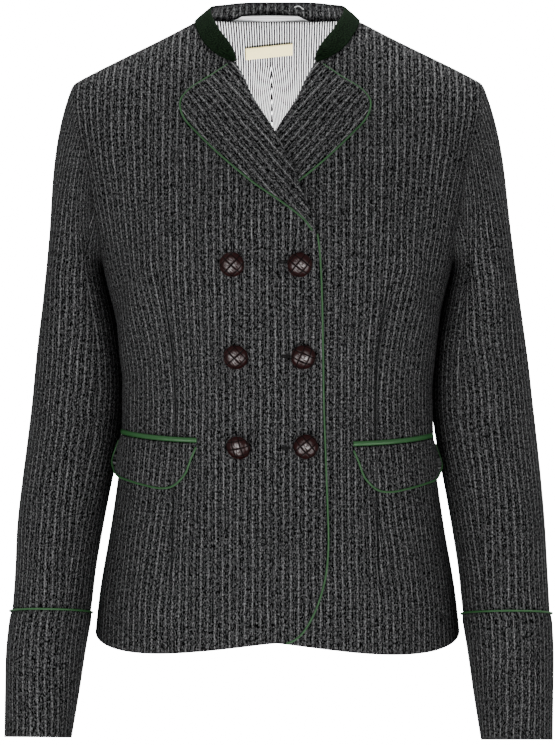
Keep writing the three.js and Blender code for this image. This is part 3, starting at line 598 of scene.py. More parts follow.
# The two backs.
# They are joined by a seam down the middle and shaped by a dart each; plain wool, lined.
BACK_NECK_Z = 12.0
BACK_GRAIN_START = 3.5
BACK_SEAM_HEIGHTS = (-587, -562, -525, -485, -445, -405, -365, -325, -285, -250, -205, -175, -140, -100,
                     -62, -28, 0, BACK_NECK_Z)
BACK_EDGE = table(
    "z x",
    *((z, -SEAM / 2) for z in BACK_SEAM_HEIGHTS),
    (BACK_NECK_Z, -30),
    (11.5, -55), (9.6, -77),
)
BACK_DART = table(
    "z x width",
    (-180, 88, 0), (-230, 84, 6), (-290, 79, 14), (-345, 76, 18), (-400, 75, 15), (-460, 75, 8),
    (-520, 76, 0),
)
BACK_CREASES = (
    (-42, -330, 74, 30, 8, -1.5),
    (38, -338, -72, 30, 8, -1.4),
    (-46, -356, 78, 28, 7, 1.2),
    (48, -362, -80, 26, 7, 1.1),
    (-150, -190, 22, 50, 11, -2.2),
    (152, -182, -24, 52, 11, -2.3),
    (-134, -215, 26, 46, 9, 1.5),
    (136, -210, -24, 48, 10, 1.5),
    (-92, -500, -4, 62, 15, 1.9),
    (88, -495, 4, 60, 15, 2.0),
    (-30, -520, 3, 50, 14, -1.6),
    (34, -512, -3, 55, 14, -1.6),
    (0, -18, 90, 34, 8, -0.9),
)

for side, sign in SIDES:
    x, z = panel_grid(BACK_EDGE, 1, 84, 46)
    across, dart_off, shown = dart_grain(x, z, 1, BACK_DART)
    outer = body_point(sign * x, z, 1)
    at_side, at_top, at_middle, _ = seam_dip(outer)
    normals = body_normals(sign * x, z, 1)
    pressed = np.maximum(np.maximum(at_side, at_top), at_middle)
    creased = crease_depth(BACK_CREASES, sign * x, z) * (1 - pressed)
    outer = outer + normals * (creased + dart_valley(dart_off, shown) - SEAM_DIP * pressed)[..., None]
    piece = cloth_wall(f"back_{side}_cloth", outer, outer - normals * CLOTH,
                       grain_map(across * sign + BACK_GRAIN_START, z, lines=(dart_off, shown)),
                       [panel_wool, striped_lining])
    wear(piece, f"back_{side}", "striped_wool", flat=(0.27, 0.61), area=0.13, held="stretched",
         rests_on=["lining_back"])


# The sleeves.
# Two pieces each, an upper and an under sleeve, set into the armhole and bent a little forward at
# the elbow. Wool outside, lining inside; soft creases lie at the elbow and the underarm.
SLEEVE = table(
    "z outer inner fuller mid depth lean",
    (-235, 226, 166.8, 6, 8, 60, 0),
    (-262, 229.5, 160.8, 6.5, 13, 60, 0),
    (-290, 233.5, 155.4, 7, 18, 59.5, 0.01),
    (-325, 238, 151.4, 7.5, 21, 59, 0.03),
    (-365, 242, 150.8, 8, 19, 58, 0.07),
    (-403, 246, 155.4, 8, 11, 56.5, 0.12),
    (-442, 250, 162.8, 7.5, -1, 55, 0.16),
    (-480, 253, 169.5, 7, -14, 53.5, 0.19),
    (-518, 253.5, 175.3, 8, -27, 52, 0.21),
    (-556, 255, 179.2, 8, -39, 50.5, 0.21),
    (-595, 258.3, 185.5, 6.2, -50, 49.5, 0.21),
    (-634, 258.5, 191, 5.2, -59, 48, 0.21),
    (-681, 258.3, 198.5, 4.4, -69, 46, 0.21),
)
ARM_TOP = -235.0
CUFF_TOP = -561.0
CUFF_END = -677.0
FRONT_SLEEVE_SEAM = 120.0
BACK_SLEEVE_SEAM = -80.0
CAP_SPREAD = 0.42
TUCKED = 2.2  # how far the sleeve's seam lies under the edge of the body
SLEEVE_GRAIN_START = 1.2
MM_PER_DEGREE = 0.9
ARM_ROW = 33  # the row of a sleeve's grid where the round of the armhole ends


def half_turn(angle):
    return np.where(angle > 180, angle - 360, angle)


def level_ring(angle, z, sign):
    angle, z = np.broadcast_arrays(np.asarray(angle, float), np.asarray(z, float))
    outer, inner, fuller, mid, depth, lean = (
        read(SLEEVE, "z", name, z) for name in ("outer", "inner", "fuller", "mid", "depth", "lean")
    )
    outer = outer + fuller * (sign > 0)
    turn = np.radians(angle)
    forward = depth * np.sin(turn)
    x = (outer + inner) / 2 + (outer - inner) / 2 * np.cos(turn)
    return np.stack([x, mid - forward, z + lean * forward], -1)


def armhole_point(angle):
    turned = half_turn(angle)
    q = 1 - np.abs(turned) / 180
    z = read(ARMHOLE, "q", "z", q)
    x_front, x_back = read(ARMHOLE, "q", "front", q), read(ARMHOLE, "q", "back", q)
    front, back = body_point(x_front, z, -1), body_point(x_back, z, 1)
    p = np.where((turned >= 0)[..., None], front, back)
    p[..., 0] -= TUCKED * smooth((np.abs(turned) - 40) / 50)
    return p


def sleeve_point(angle, length, sign):
    """Length 0 to 1 is the cap, from the armhole to the first level section, and 1 to 2 the arm."""
    angle, length = np.broadcast_arrays(np.asarray(angle, float), np.asarray(length, float))
    start, end = armhole_point(angle), level_ring(angle, ARM_TOP, sign)
    span = np.linalg.norm(end - start, axis=-1, keepdims=True)
    out = CAP_SPREAD * (0.5 + 0.5 * np.cos(np.radians(angle)))
    leave = unit(np.stack([out, -0.12 * np.sin(np.radians(angle)), -np.ones_like(out)], -1)) * span
    arrive = unit(level_ring(angle, ARM_TOP - 5, sign) - end) * span
    t = np.clip(length, 0, 1)[..., None]
    cap = (
        start * (1 + 2 * t) * (1 - t) ** 2
        + leave * t * (1 - t) ** 2
        + end * t * t * (3 - 2 * t)
        + arrive * t * t * (t - 1)
    )
    arm = level_ring(angle, lerp(ARM_TOP, CUFF_TOP, np.clip(length - 1, 0, 1)), sign)
    return np.where((length > 1)[..., None], arm, cap)


# angle round the sleeve, height, slant, length, width, depth; the angle is read as millimetres round the arm
SLEEVE_CREASES = {
    "right": (
        (98, -372, 70, 30, 7, -2.3),
        (104, -352, 64, 26, 7, 1.7),
        (88, -332, 58, 28, 7, -1.8),
        (112, -398, 80, 26, 7, 1.5),
        (70, -300, 40, 40, 9, -1.3),
        (40, -262, 24, 46, 11, 1.2),
        (96, -246, 30, 40, 10, -1.7),
        (-60, -350, -66, 26, 8, 1.2),
        (-72, -385, -74, 26, 8, -1.3),
        (60, -470, 34, 46, 11, -1.3),
        (84, -510, 22, 38, 10, 1.2),
        (20, -160, 12, 50, 12, -1.2),
    ),
    "left": (
        (100, -366, 66, 30, 7, -2.2),
        (96, -344, 60, 28, 7, 1.8),
        (110, -392, 76, 26, 7, -1.6),
        (84, -318, 50, 28, 8, 1.3),
        (62, -286, 36, 42, 10, -1.5),
        (98, -250, 30, 40, 10, 1.4),
        (36, -240, 20, 48, 11, -1.1),
        (-64, -360, -68, 28, 8, -1.3),
        (-58, -392, -74, 24, 8, 1.2),
        (66, -452, 30, 44, 10, 1.4),
        (88, -498, 24, 40, 10, -1.3),
        (12, -150, 10, 50, 12, -1.3),
    ),
}
# name, seams it starts and ends at, the angle of its middle, columns, way to its centre, flat size, area
SLEEVE_PIECES = (
    ("upper", BACK_SLEEVE_SEAM, FRONT_SLEEVE_SEAM, 8.0, 56, -18.0, (0.21, 0.52), 0.085),
    ("under", FRONT_SLEEVE_SEAM, BACK_SLEEVE_SEAM + 360, 150.0, 42, 18.0, (0.15, 0.42), 0.055),
)


def sleeve_side(points, sign):
    """Turns points of the left sleeve to the wearer's right or left."""
    return points * np.array([sign, 1.0, 1.0])


down = np.concatenate([np.linspace(0, 1, ARM_ROW + 1) ** 1.25, 1 + np.linspace(0, 1, 74)[1:]])[:, None]
for side, sign in SIDES:
    rows = [(place * MM_PER_DEGREE, *others) for place, *others in SLEEVE_CREASES[side]]
    for name, start, stop, middle, cols, centre_x, flat, area in SLEEVE_PIECES:
        angle = lerp(start, stop, refined(cols, 0.02))[None, :]
        outer = sleeve_point(angle, down, sign)
        normals = grid_normals(outer, outer.mean(axis=1, keepdims=True) + np.array([centre_x, 0, 0]))
        at_end, _, at_start, at_armhole = seam_dip(outer)
        pressed = np.maximum(np.maximum(at_end, at_start), at_armhole)
        turned = half_turn(angle) * MM_PER_DEGREE + 0 * down
        creased = crease_depth(rows, turned, outer[..., 2]) * (1 - pressed)
        outer = outer + normals * (creased - SEAM_DIP * pressed)[..., None]
        run, fallen = run_along(outer, 1), run_along(outer, 0)
        centre = int(np.argmin(np.abs(angle[0] - middle)))
        across = run - run[:, centre:centre + 1]
        along = outer[ARM_ROW, :, 2] + fallen[ARM_ROW] - fallen
        piece = cloth_wall(f"sleeve_{name}_{side}_cloth", sleeve_side(outer, sign),
                           sleeve_side(outer - normals * CLOTH, sign),
                           grain_map(across * sign + SLEEVE_GRAIN_START, along), [wool, striped_lining])
        wear(piece, f"sleeve_{name}_{side}", "striped_wool", held="stretched", rests_on=[f"back_{side}"],
             flat=flat, area=area)


# The cuffs.
# A deep turned-up band of the same wool round each wrist, a little proud of the sleeve.
CUFF_PROUD = 1.8
CUFF_GRAIN_START = 2.0
CUFF_SEAM = 188  # the angle of the seam under the wrist, where the lines start and end
CUFF_CREASES = (
    (30, -600, 10, 40, 12, -1.1),
    (72, -640, -14, 34, 11, 1.1),
    (-40, -610, 8, 40, 12, 1.0),
    (-90, -650, -6, 36, 12, -1.0),
)
angle = np.linspace(0, 360, 96, endpoint=False)[None, :]
down = np.concatenate([np.array([0.002, 0.006, 0.014]), np.linspace(0.03, 1, 40)])[:, None]
for side, sign in SIDES:
    ring = level_ring(angle, lerp(CUFF_TOP, CUFF_END, down), sign)
    around = np.roll(ring, -1, 1) - np.roll(ring, 1, 1)
    normals = unit(np.cross(np.gradient(ring, axis=0), around))
    normals = turned_out(normals, ring, ring.mean(axis=1, keepdims=True))
    turned = half_turn(angle) * MM_PER_DEGREE * sign + 0 * down
    out = CUFF_PROUD - 0.9 * np.exp(-((down / 0.03) ** 2)) + crease_depth(CUFF_CREASES, turned, ring[..., 2])
    outer = ring + normals * out[..., None]
    step = np.linalg.norm(np.roll(outer, -1, 1) - outer, axis=-1)
    run = np.cumsum(step, axis=1) - step
    across = np.where(angle > CUFF_SEAM, run - step.sum(axis=1, keepdims=True), run)
    piece = cloth_wall(f"cuff_{side}_cloth", sleeve_side(outer, sign),
                       sleeve_side(outer - normals * CLOTH, sign),
                       grain_map(across * sign + CUFF_GRAIN_START, ring[..., 2]),
                       [wool, striped_lining], loop=True)
    wear(piece, f"cuff_{side}", "striped_wool", flat=(0.27, 0.125), held="stretched",
         rests_on=[f"sleeve_upper_{side}"])


# The piping.
# A narrow cord covered in green satin, sewn into the edges of the lapels, the right front, the
# flaps and the tops of the cuffs.
PIPING_RADIUS = 0.95


def make_satin(name, colour, shade):
    """Ribbed satin in one colour, darker in its fine cross ribs."""
    material, tree, shader = new_material(name, 0.38, 0.5, 0.1, colour)
    grain, _, y = uv_map(tree)
    ribs = (y * 7.0).wave()
    share = (ribs * 0.3 + 0.5) * noise(grain, 0.4, 0.5)
    surface(tree, shader, blend_colour(share, colour, shade), ribs, 0.00008, 0.5)
    return material


green_piping = make_satin("green_piping", (0.045, 0.17, 0.05), (0.012, 0.06, 0.017))


def tube(name, points, radius, material, closed=False, around=10):
    """A round cord along points; an open one is closed at its ends with a small dome."""
    points = np.asarray(points, float)
    along = unit(np.roll(points, -1, 0) - np.roll(points, 1, 0) if closed else np.gradient(points, axis=0))
    up = unit(np.cross(along[0], np.array([0.3, 1.0, 0.2])))
    turn = np.linspace(0, 2 * np.pi, around, endpoint=False)[:, None]
    rings = []
    for p, t in zip(points, along):
        up = unit(up - t * np.dot(up, t))
        rings.append(p + radius * (np.cos(turn) * up + np.sin(turn) * np.cross(t, up)))
    verts, n, run = np.concatenate(rings), len(points), run_along(points, 0)
    uv = np.array([(k * 0.7, v) for v in run for k in range(around)])
    faces = []
    for j in range(n if closed else n - 1):
        first, second = j * around, (j + 1) % n * around
        for k in range(around):
            k2 = (k + 1) % around
            faces.append((first + k, first + k2, second + k2, second + k))
    if not closed:
        tips = np.stack([points[0] - along[0] * radius * 0.6, points[-1] + along[-1] * radius * 0.6])
        verts = np.concatenate([verts, tips])
        uv = np.concatenate([uv, [[0, run[0]], [0, run[-1]]]])
        end = (n - 1) * around
        for k in range(around):
            k2 = (k + 1) % around
            faces += [(n * around, k2, k), (n * around + 1, end + k, end + k2)]
    return add_mesh(name, verts, faces, {"grain": uv}, [material])


CUFF_CORD_OUT = 1.95
CUFF_CORD_UP = 1.2
EDGE_CORD_OUT = 1.08
turn = np.linspace(0, 360, 120, endpoint=False)
for side, sign in SIDES:
    ring = level_ring(turn, CUFF_TOP, sign)
    below = level_ring(turn, CUFF_TOP - 6, sign)
    normals = unit(np.cross(below - ring, np.roll(ring, -1, 0) - np.roll(ring, 1, 0)))
    line = ring + turned_out(normals, ring, ring.mean(0)) * CUFF_CORD_OUT + np.array([0, 0, CUFF_CORD_UP])
    piece = tube(f"piping_cuff_{side}_cord", sleeve_side(line, sign), PIPING_RADIUS, green_piping,
                 closed=True)
    wear(piece, f"piping_cuff_{side}", "green_piping")

edge_r = np.linspace(0, 14.75, 216)  # from the hem to just under the end of the lapel
edge_x, edge_z = by_index(FRONT_EDGE["x"], edge_r), by_index(FRONT_EDGE["z"], edge_r)
way = unit(np.stack([np.gradient(edge_x), np.gradient(edge_z)], -1)) * EDGE_CORD_OUT
piece = tube("piping_edge_right_cord", front_point(edge_x + way[:, 1], edge_z - way[:, 0], -1, -1.0),
             PIPING_RADIUS, green_piping)
wear(piece, "piping_edge_right", "green_piping")


# The stand collar.
# Dark green felt on the outside and striped wool inside, sewn to the neckline from gorge to gorge.
COLLAR = table(
    "t x z inward forward up",
    (0, 0, 12, 0, 4, 18),
    (0.14, 30, 12, 2.5, 4, 17.5),
    (0.28, 55, 11.5, 7.5, 3, 15.5),
    (0.4, 77, 9.6, 13.5, 0, 11.5),
    (0.56, 70, -10, 15, 2, 10.5),
    (0.72, 61, -21, 15.5, 3, 9),
    (0.86, 50, -28.5, 10, 3, 7.5),
    (1, 38.5, -33, 1.5, 1.5, 2.5),
)
COLLAR_SIDE = 0.4  # where it passes the shoulder seam
COLLAR_SEAT = -0.03
COLLAR_GAP = 0.15  # half the gap between felt and wool
COLLAR_CREASES = (
    (-0.5, 0.5, 12, 0.3, 0.07, -0.7),
    (0.53, 0.45, -12, 0.3, 0.07, -0.7),
    (0.1, 0.3, 80, 0.2, 0.2, 0.3),
)
FELT_DARK = (0.0010, 0.0030, 0.0012)
FELT_LIGHT = (0.0120, 0.0290, 0.0120)


def make_felt(name):
    """Dark green wool felt with a short, matted nap."""
    material, tree, shader = new_material(name, 0.95, 0.06, 0.004, (0.3, 0.6, 0.3))
    grain = uv_map(tree)[0]
    nap = noise(grain, 0.75, 0.75, 4.0)
    share = nap.mask(0.35, 0.7) * (noise(grain, 0.08, 0.08) + 0.6)
    surface(tree, shader, blend_colour(share, FELT_DARK, FELT_LIGHT), nap, 0.0003, 0.8)
    return material


green_felt = make_felt("green_felt")


def collar_point(t, height):
    """A point of the collar; t runs from -1 to 1 round the neck and height from 0 at its foot to 1."""
    at = np.abs(t)
    names = ("x", "z", "inward", "forward", "up")
    x, z, inward, forward, up = (read(COLLAR, "t", name, at) for name in names)
    z = np.minimum(z, ridge(x))
    p = np.where((at < COLLAR_SIDE)[..., None], body_point(x, z, 1), body_point(x, z, -1))
    lift = COLLAR_SEAT + height * (1 - COLLAR_SEAT)
    p = p + np.stack([-inward, -forward, up], -1) * lift[..., None]
    return p * np.stack([np.where(t < 0, -1.0, 1.0), np.ones_like(t), np.ones_like(t)], -1)


def collar_normals(t, height):
    rise = collar_point(t, np.ones_like(t)) - collar_point(t, np.zeros_like(t))
    around = collar_point(np.minimum(t + 0.02, 1), height) - collar_point(np.maximum(t - 0.02, -1), height)
    return unit(np.cross(rise, around))


t = np.linspace(-1, 1, 181)[:, None] + np.zeros((1, 19))
height = np.concatenate([np.linspace(0, 0.94, 15), [0.965, 0.985, 0.996, 1.0]])[None, :] + np.zeros((181, 1))
base, normals = collar_point(t, height), collar_normals(t, height)
turn_in = np.sqrt(np.clip(1 - ((height - 0.9) / 0.1).clip(0, 1) ** 2, 0, 1))
thick = COLLAR_GAP + CLOTH * (0.35 + 0.65 * turn_in)
soft = 0.5 * np.sin(np.pi * height) ** 2 + crease_depth(COLLAR_CREASES, t, height)
run = run_along(base, 0)
uvs = grain_map(run - run[90:91], np.linalg.norm(base - base[:, :1], axis=-1))
for name, node, away, near, material, slot, below in (
    ("collar_stand_felt", "collar_stand", thick + soft, COLLAR_GAP, green_felt, "green_felt",
     ["back_right", "back_left"]),
    ("collar_inner_cloth", "collar_inner", -thick, -COLLAR_GAP, inner_wool, "striped_wool",
     ["collar_stand_felt"]),
):
    walls = [base + normals * np.broadcast_to(out, t.shape)[..., None] for out in (away, near)]
    piece = cloth_wall(name, *walls, uvs, [material, material])
    wear(piece, node, slot, flat=(0.30, 0.026), held="stretched", rests_on=below)


# The lapels.
# The tops of the fronts, folded back along the crease line; the grain turns with the fold, so the
# lines run slantwise. The free edge is piped.
LAPEL = table(
    "t foldX foldZ edgeX edgeZ",
    (0, -38, -33, -40, -34.5),
    (0.1, -34, -41, -59.5, -47.5),
    (0.22, -28, -52, -79, -60),
    (0.32, -23.4, -63, -87.5, -71.5),
    (0.42, -15.8, -76, -84, -85.5),
    (0.52, -6.6, -90, -72, -99),
    (0.64, 3.2, -107, -47.5, -122.5),
    (0.76, 15, -131, -19.5, -145.5),
    (0.87, 26, -156, 8, -164),
    (0.95, 33.5, -177, 27.5, -179),
    (1, 37.5, -190, 36, -190),
)
LAPEL_START = 0.02
UNDER_LAPEL_END = 0.76
LAPEL_THICK = 2.4
LAPEL_SEAT = 0.5
LAPEL_ROLL = 2.4
FOLD_RADIUS = 2.5
LAPEL_SLANT = math.radians(49)
LAPEL_CORD_OUT = 0.9
ROLL_STEPS = 12  # columns of the grid round the fold


def lapel_point(t, s, sign, out=0.0):
    """A point of the lapel; t runs down its fold and s from the fold to its free edge."""
    names = ("foldX", "foldZ", "edgeX", "edgeZ")
    fold_x, fold_z, edge_x, edge_z = (read(LAPEL, "t", name, t) for name in names)
    share = 1.0 if sign < 0 else 1 - smooth((t - 0.3) / 0.2)
    roll = LAPEL_ROLL * share * np.sin(np.pi * t) * smooth(s / 0.3) * (1 - 0.7 * smooth((s - 0.4) / 0.6))
    x, z = -sign * lerp(fold_x, edge_x, s), lerp(fold_z, edge_z, s)
    return front_point(x, z, sign, LAPEL_SEAT + roll + out)


for side, sign, end, size, area in (("right", -1, 1.0, (0.09, 0.19), 0.0088),
                                    ("left", 1, UNDER_LAPEL_END, (0.085, 0.13), 0.0072)):
    t = lerp(LAPEL_START, end, np.linspace(0, 1, 90))[:, None]
    s = np.concatenate([np.linspace(0, 0.92, 34), [0.95, 0.975, 0.99, 1.0]])[None, :]
    width = np.linalg.norm(lapel_point(t, 1.0, sign) - lapel_point(t, 0.0, sign), axis=-1)
    radius = np.minimum(FOLD_RADIUS, 0.32 * width)
    s_real = lerp(np.minimum(1.5, 0.3 * width) / width, 1.0, s)
    top = lapel_point(t, s_real, sign, LAPEL_THICK)
    normals = grid_normals(top, top - np.array([0, -30.0, 0]))
    edge_soft = 1 - np.sqrt(np.clip(1 - ((s - 0.97) / 0.03).clip(0, 1) ** 2, 0, 1))
    ripple = 0.5 * np.sin(t * 21 + s * 3) * smooth((s - 0.3) / 0.5) * np.sin(np.pi * t)
    top = top + normals * (ripple - 0.9 * edge_soft)[..., None]
    under = lapel_point(t, s_real, sign, 0.2) + normals * ripple[..., None]
    turn = np.radians(np.linspace(165, 8, ROLL_STEPS))[None, :]
    toward = unit(top[:, :1] - top[:, 3:4])
    round_fold = np.cos(turn)[..., None] * normals[:, :1] + np.sin(turn)[..., None] * toward
    centre = top[:, :1] - normals[:, :1] * radius[..., None]
    outer = np.concatenate([centre + radius[..., None] * round_fold, top], axis=1)
    inner = np.concatenate([centre + 0.22 * radius[..., None] * round_fold, under], axis=1)
    way = np.concatenate([np.linspace(-1, -0.05, ROLL_STEPS)[None, :] * radius * 2.6, 0 * s_real], axis=1)
    flat = np.concatenate([np.repeat(top[:, :1], ROLL_STEPS, 1), top], axis=1)
    flat_x, flat_z = flat[..., 0] * sign, flat[..., 2]
    across = flat_x * math.sin(LAPEL_SLANT) - flat_z * math.cos(LAPEL_SLANT) + way
    along = flat_x * math.cos(LAPEL_SLANT) + flat_z * math.sin(LAPEL_SLANT)
    piece = cloth_wall(f"lapel_{side}_cloth", outer, inner, grain_map(across, along), [wool, wool])
    wear(piece, f"lapel_{side}", "striped_wool", flat=size, area=area, held="folded",
         rests_on=[f"front_{side}"])
    t = np.linspace(0.02, end - 0.003, 110)
    line = lapel_point(t, 1.0, sign, LAPEL_THICK / 2)
    way = unit(np.gradient(line, axis=0))
    outward = unit(np.cross(way, body_normals(line[:, 0], line[:, 2], -1))) * -sign
    piece = tube(f"piping_lapel_{side}_cord", line + outward * LAPEL_CORD_OUT, PIPING_RADIUS * 0.85,
                 green_piping)
    wear(piece, f"piping_lapel_{side}", "green_piping")


# The pockets.
# A green welt across the top of each, and a flap of the same wool whose lower edge is piped.
FLAP = table(
    "s top topZ low lowZ",
    (0, 73, -387.5, 80, -405),
    (0.1, 80, -387.5, 84.5, -416),
    (0.25, 91, -387.4, 95, -427),
    (0.42, 104, -387.2, 107, -430),
    (0.6, 118, -386.8, 121, -428.5),
    (0.78, 132.5, -386.3, 136, -426),
    (0.92, 142.8, -386, 147, -422.5),
    (1, 148.3, -386, 150.5, -412),
)
LAID_ON = 0.95
FLAP_THICK = 1.8
FLAP_FREE = 6.0
WELT_HEIGHT = 4.6
FLAP_CORD_OUT = 1.1
POCKET_DROP = {-1: 3.0, 1: 6.0}  # how far each pocket hangs below the table's heights


def flap_point(s, v, sign):
    """The middle of the flap's thickness; s runs to the side seam and v from its top to its lower edge."""
    top, top_z, low, low_z = (read(FLAP, "s", name, s) for name in ("top", "topZ", "low", "lowZ"))
    free = 0.9 * v + FLAP_FREE * s**3 * v
    x, z = sign * lerp(top, low, v), lerp(top_z, low_z, v) - POCKET_DROP[sign]
    return front_point(x, z, 0, LAID_ON + free + FLAP_THICK / 2)


for side, sign in SIDES:
    v = np.linspace(0, 1, 26)[:, None]
    s = np.linspace(0, 1, 60)[None, :]
    mid = flap_point(s, v, sign)
    normals = grid_normals(mid, mid - np.array([0, -30.0, 0]))
    half = FLAP_THICK / 2 * np.sqrt(np.clip(1 - ((v - 0.93) / 0.07).clip(0, 1) ** 2, 0.15, 1))
    wave = 0.5 * np.sin(5.5 * s + sign) * v + 0.5 * np.exp(-(((s - 0.5) / 0.3) ** 2)) * np.sin(np.pi * v)
    across, _, _ = dart_grain(np.abs(mid[..., 0]), mid[..., 2], -1, DART)
    piece = cloth_wall(f"flap_{side}_cloth", mid + normals * (wave + half)[..., None],
                       mid + normals * (wave - half)[..., None],
                       grain_map(across * -sign + GRAIN_START, mid[..., 2]), [wool, wool])
    wear(piece, f"flap_{side}", "striped_wool", flat=(0.083, 0.045), held="hung", area=0.0031,
         rests_on=[f"front_{side}"])

    v = np.linspace(0, 1, 9)[:, None]
    x = sign * read(FLAP, "s", "top", s) + 0 * v
    z = read(FLAP, "s", "topZ", s) + LAID_ON + WELT_HEIGHT * (1 - v) - POCKET_DROP[sign]
    swell = 0.9 * np.sin(np.pi * v) ** 0.6 + 0 * s
    piece = cloth_wall(f"welt_{side}_satin", front_point(x, z, 0, LAID_ON + 0.9 + swell),
                       front_point(x, z, 0, LAID_ON), grain_map(z, x), [green_piping, green_piping])
    wear(piece, f"welt_{side}", "green_piping", flat=(0.08, 0.0126), held="folded", area=0.0005,
         rests_on=[f"front_{side}"])

    around = np.linspace(-0.16, 1.12, 41)  # up one short edge, along the lower edge and up the other one
    s = np.clip(around, 0, 1)
    v = np.where(around < 0, 1 + around * 5, np.where(around > 1, 1 - (around - 1) * 6.5, 1.0))
    rim = flap_point(s, v, sign)
    inside = flap_point(0.5 + 0 * s, np.where(s == around, 0.2, v), sign)
    line = rim + unit(rim - inside) * FLAP_CORD_OUT
    r = np.linspace(0, len(line) - 1, 150)
    line = np.stack([by_index(line[:, k], r) for k in range(3)], -1)
    piece = tube(f"piping_flap_{side}_cord", line, PIPING_RADIUS, green_piping)
    wear(piece, f"piping_flap_{side}", "green_piping")


# The buttons.
# Six domes plaited from strips of dark oxblood leather, on short shanks sewn to the right front;
# the column nearer the edge has worked buttonholes beside it.
BUTTON_X = 31.0
BUTTON_RADIUS = 11.5
BUTTON_HEIGHT = 9.0
STRIP = 8.2  # width of a strip of leather
ROUND = 144  # points of a button's ring
# height, shift of the pair, seat
BUTTON_ROWS = ((-221, -7.4, -0.12), (-307, -4.6, 0.3), (-392, -2, 0.45))
# row, side: the plait's turn, how the button hangs over (degrees), and the plait's shift (strips)
BUTTON_TURNS = {
    (0, -1): (43, 0, 0, 0.0, 0.0),
    (0, 1): (38, 3, -2, 0.35, 0.3),
    (1, -1): (48, 2, 3, 0.1, 0.05),
    (1, 1): (24, -2, 2, 0.45, 0.5),
    (2, -1): (78, 22, -8, 0.1, 0.5),
    (2, 1): (50, 2, -3, 0.5, 0.45),
}
LEATHER_DARK = (0.010, 0.0006, 0.0006)
LEATHER_LIGHT = (0.036, 0.002, 0.002)
# painted highlight: bright colour on the crown of each dome, standing in for the reflection of a lamp in
# front
PAINTED_HIGHLIGHT = (0.95, 0.9, 0.9)
# painted shade in the grooves between the strips
PAINTED_GROOVE_SHADE = (0.0005, 0.0004, 0.0004)


def make_leather(name):
    """Polished oxblood leather: a painted highlight on the crown of the dome, and painted shade in the
    grooves between the strips.
    """
    material, tree, shader = new_material(name, 0.3)
    weave, x, y = uv_map(tree)
    _, radial, _ = uv_map(tree, "crown")
    inside = x.off_middle().calc("MAXIMUM", y.off_middle())  # 0.5 on the edge of a strip
    streaks, pores = noise(weave, 1.6, 5.0, 3.0), noise(weave, 9.0, 9.0, 4.0)
    # painted highlight on the crown of the dome, broken into streaks
    painted_highlight = radial.mask(0.7, 0.1) * streaks.mask(0.36, 0.68) * inside.mask(0.45, 0.2)
    groove = inside.mask(0.415, 0.47)
    leather = blend_colour(painted_highlight, blend_colour(pores, LEATHER_DARK, LEATHER_LIGHT), PAINTED_HIGHLIGHT)
    feed(groove * 0.6 + 0.3, shader.inputs["Roughness"])
    # the grooves take near-black painted shade
    surface(tree, shader, blend_colour(groove, leather, PAINTED_GROOVE_SHADE), pores, 0.00006, 0.5)
    return material


dark_leather = make_leather("dark_leather")


def plait(u, v):
    """Height, 0 to 1, of strips that cross over and under each other, with narrow grooves between."""
    i, j = np.floor(u), np.floor(v)
    fu, fv = u - i - 0.5, v - j - 0.5
    over = (i + j) % 2 == 0
    a, b = np.where(over, fv, fu), np.where(over, fu, fv)
    crowned = 0.75 + 0.25 * np.cos(np.pi * a) * (0.6 + 0.4 * np.cos(np.pi * b))
    edge = 0.5 - np.maximum(np.abs(fu), np.abs(fv))
    return crowned * smooth(edge / 0.09 + 0.1)


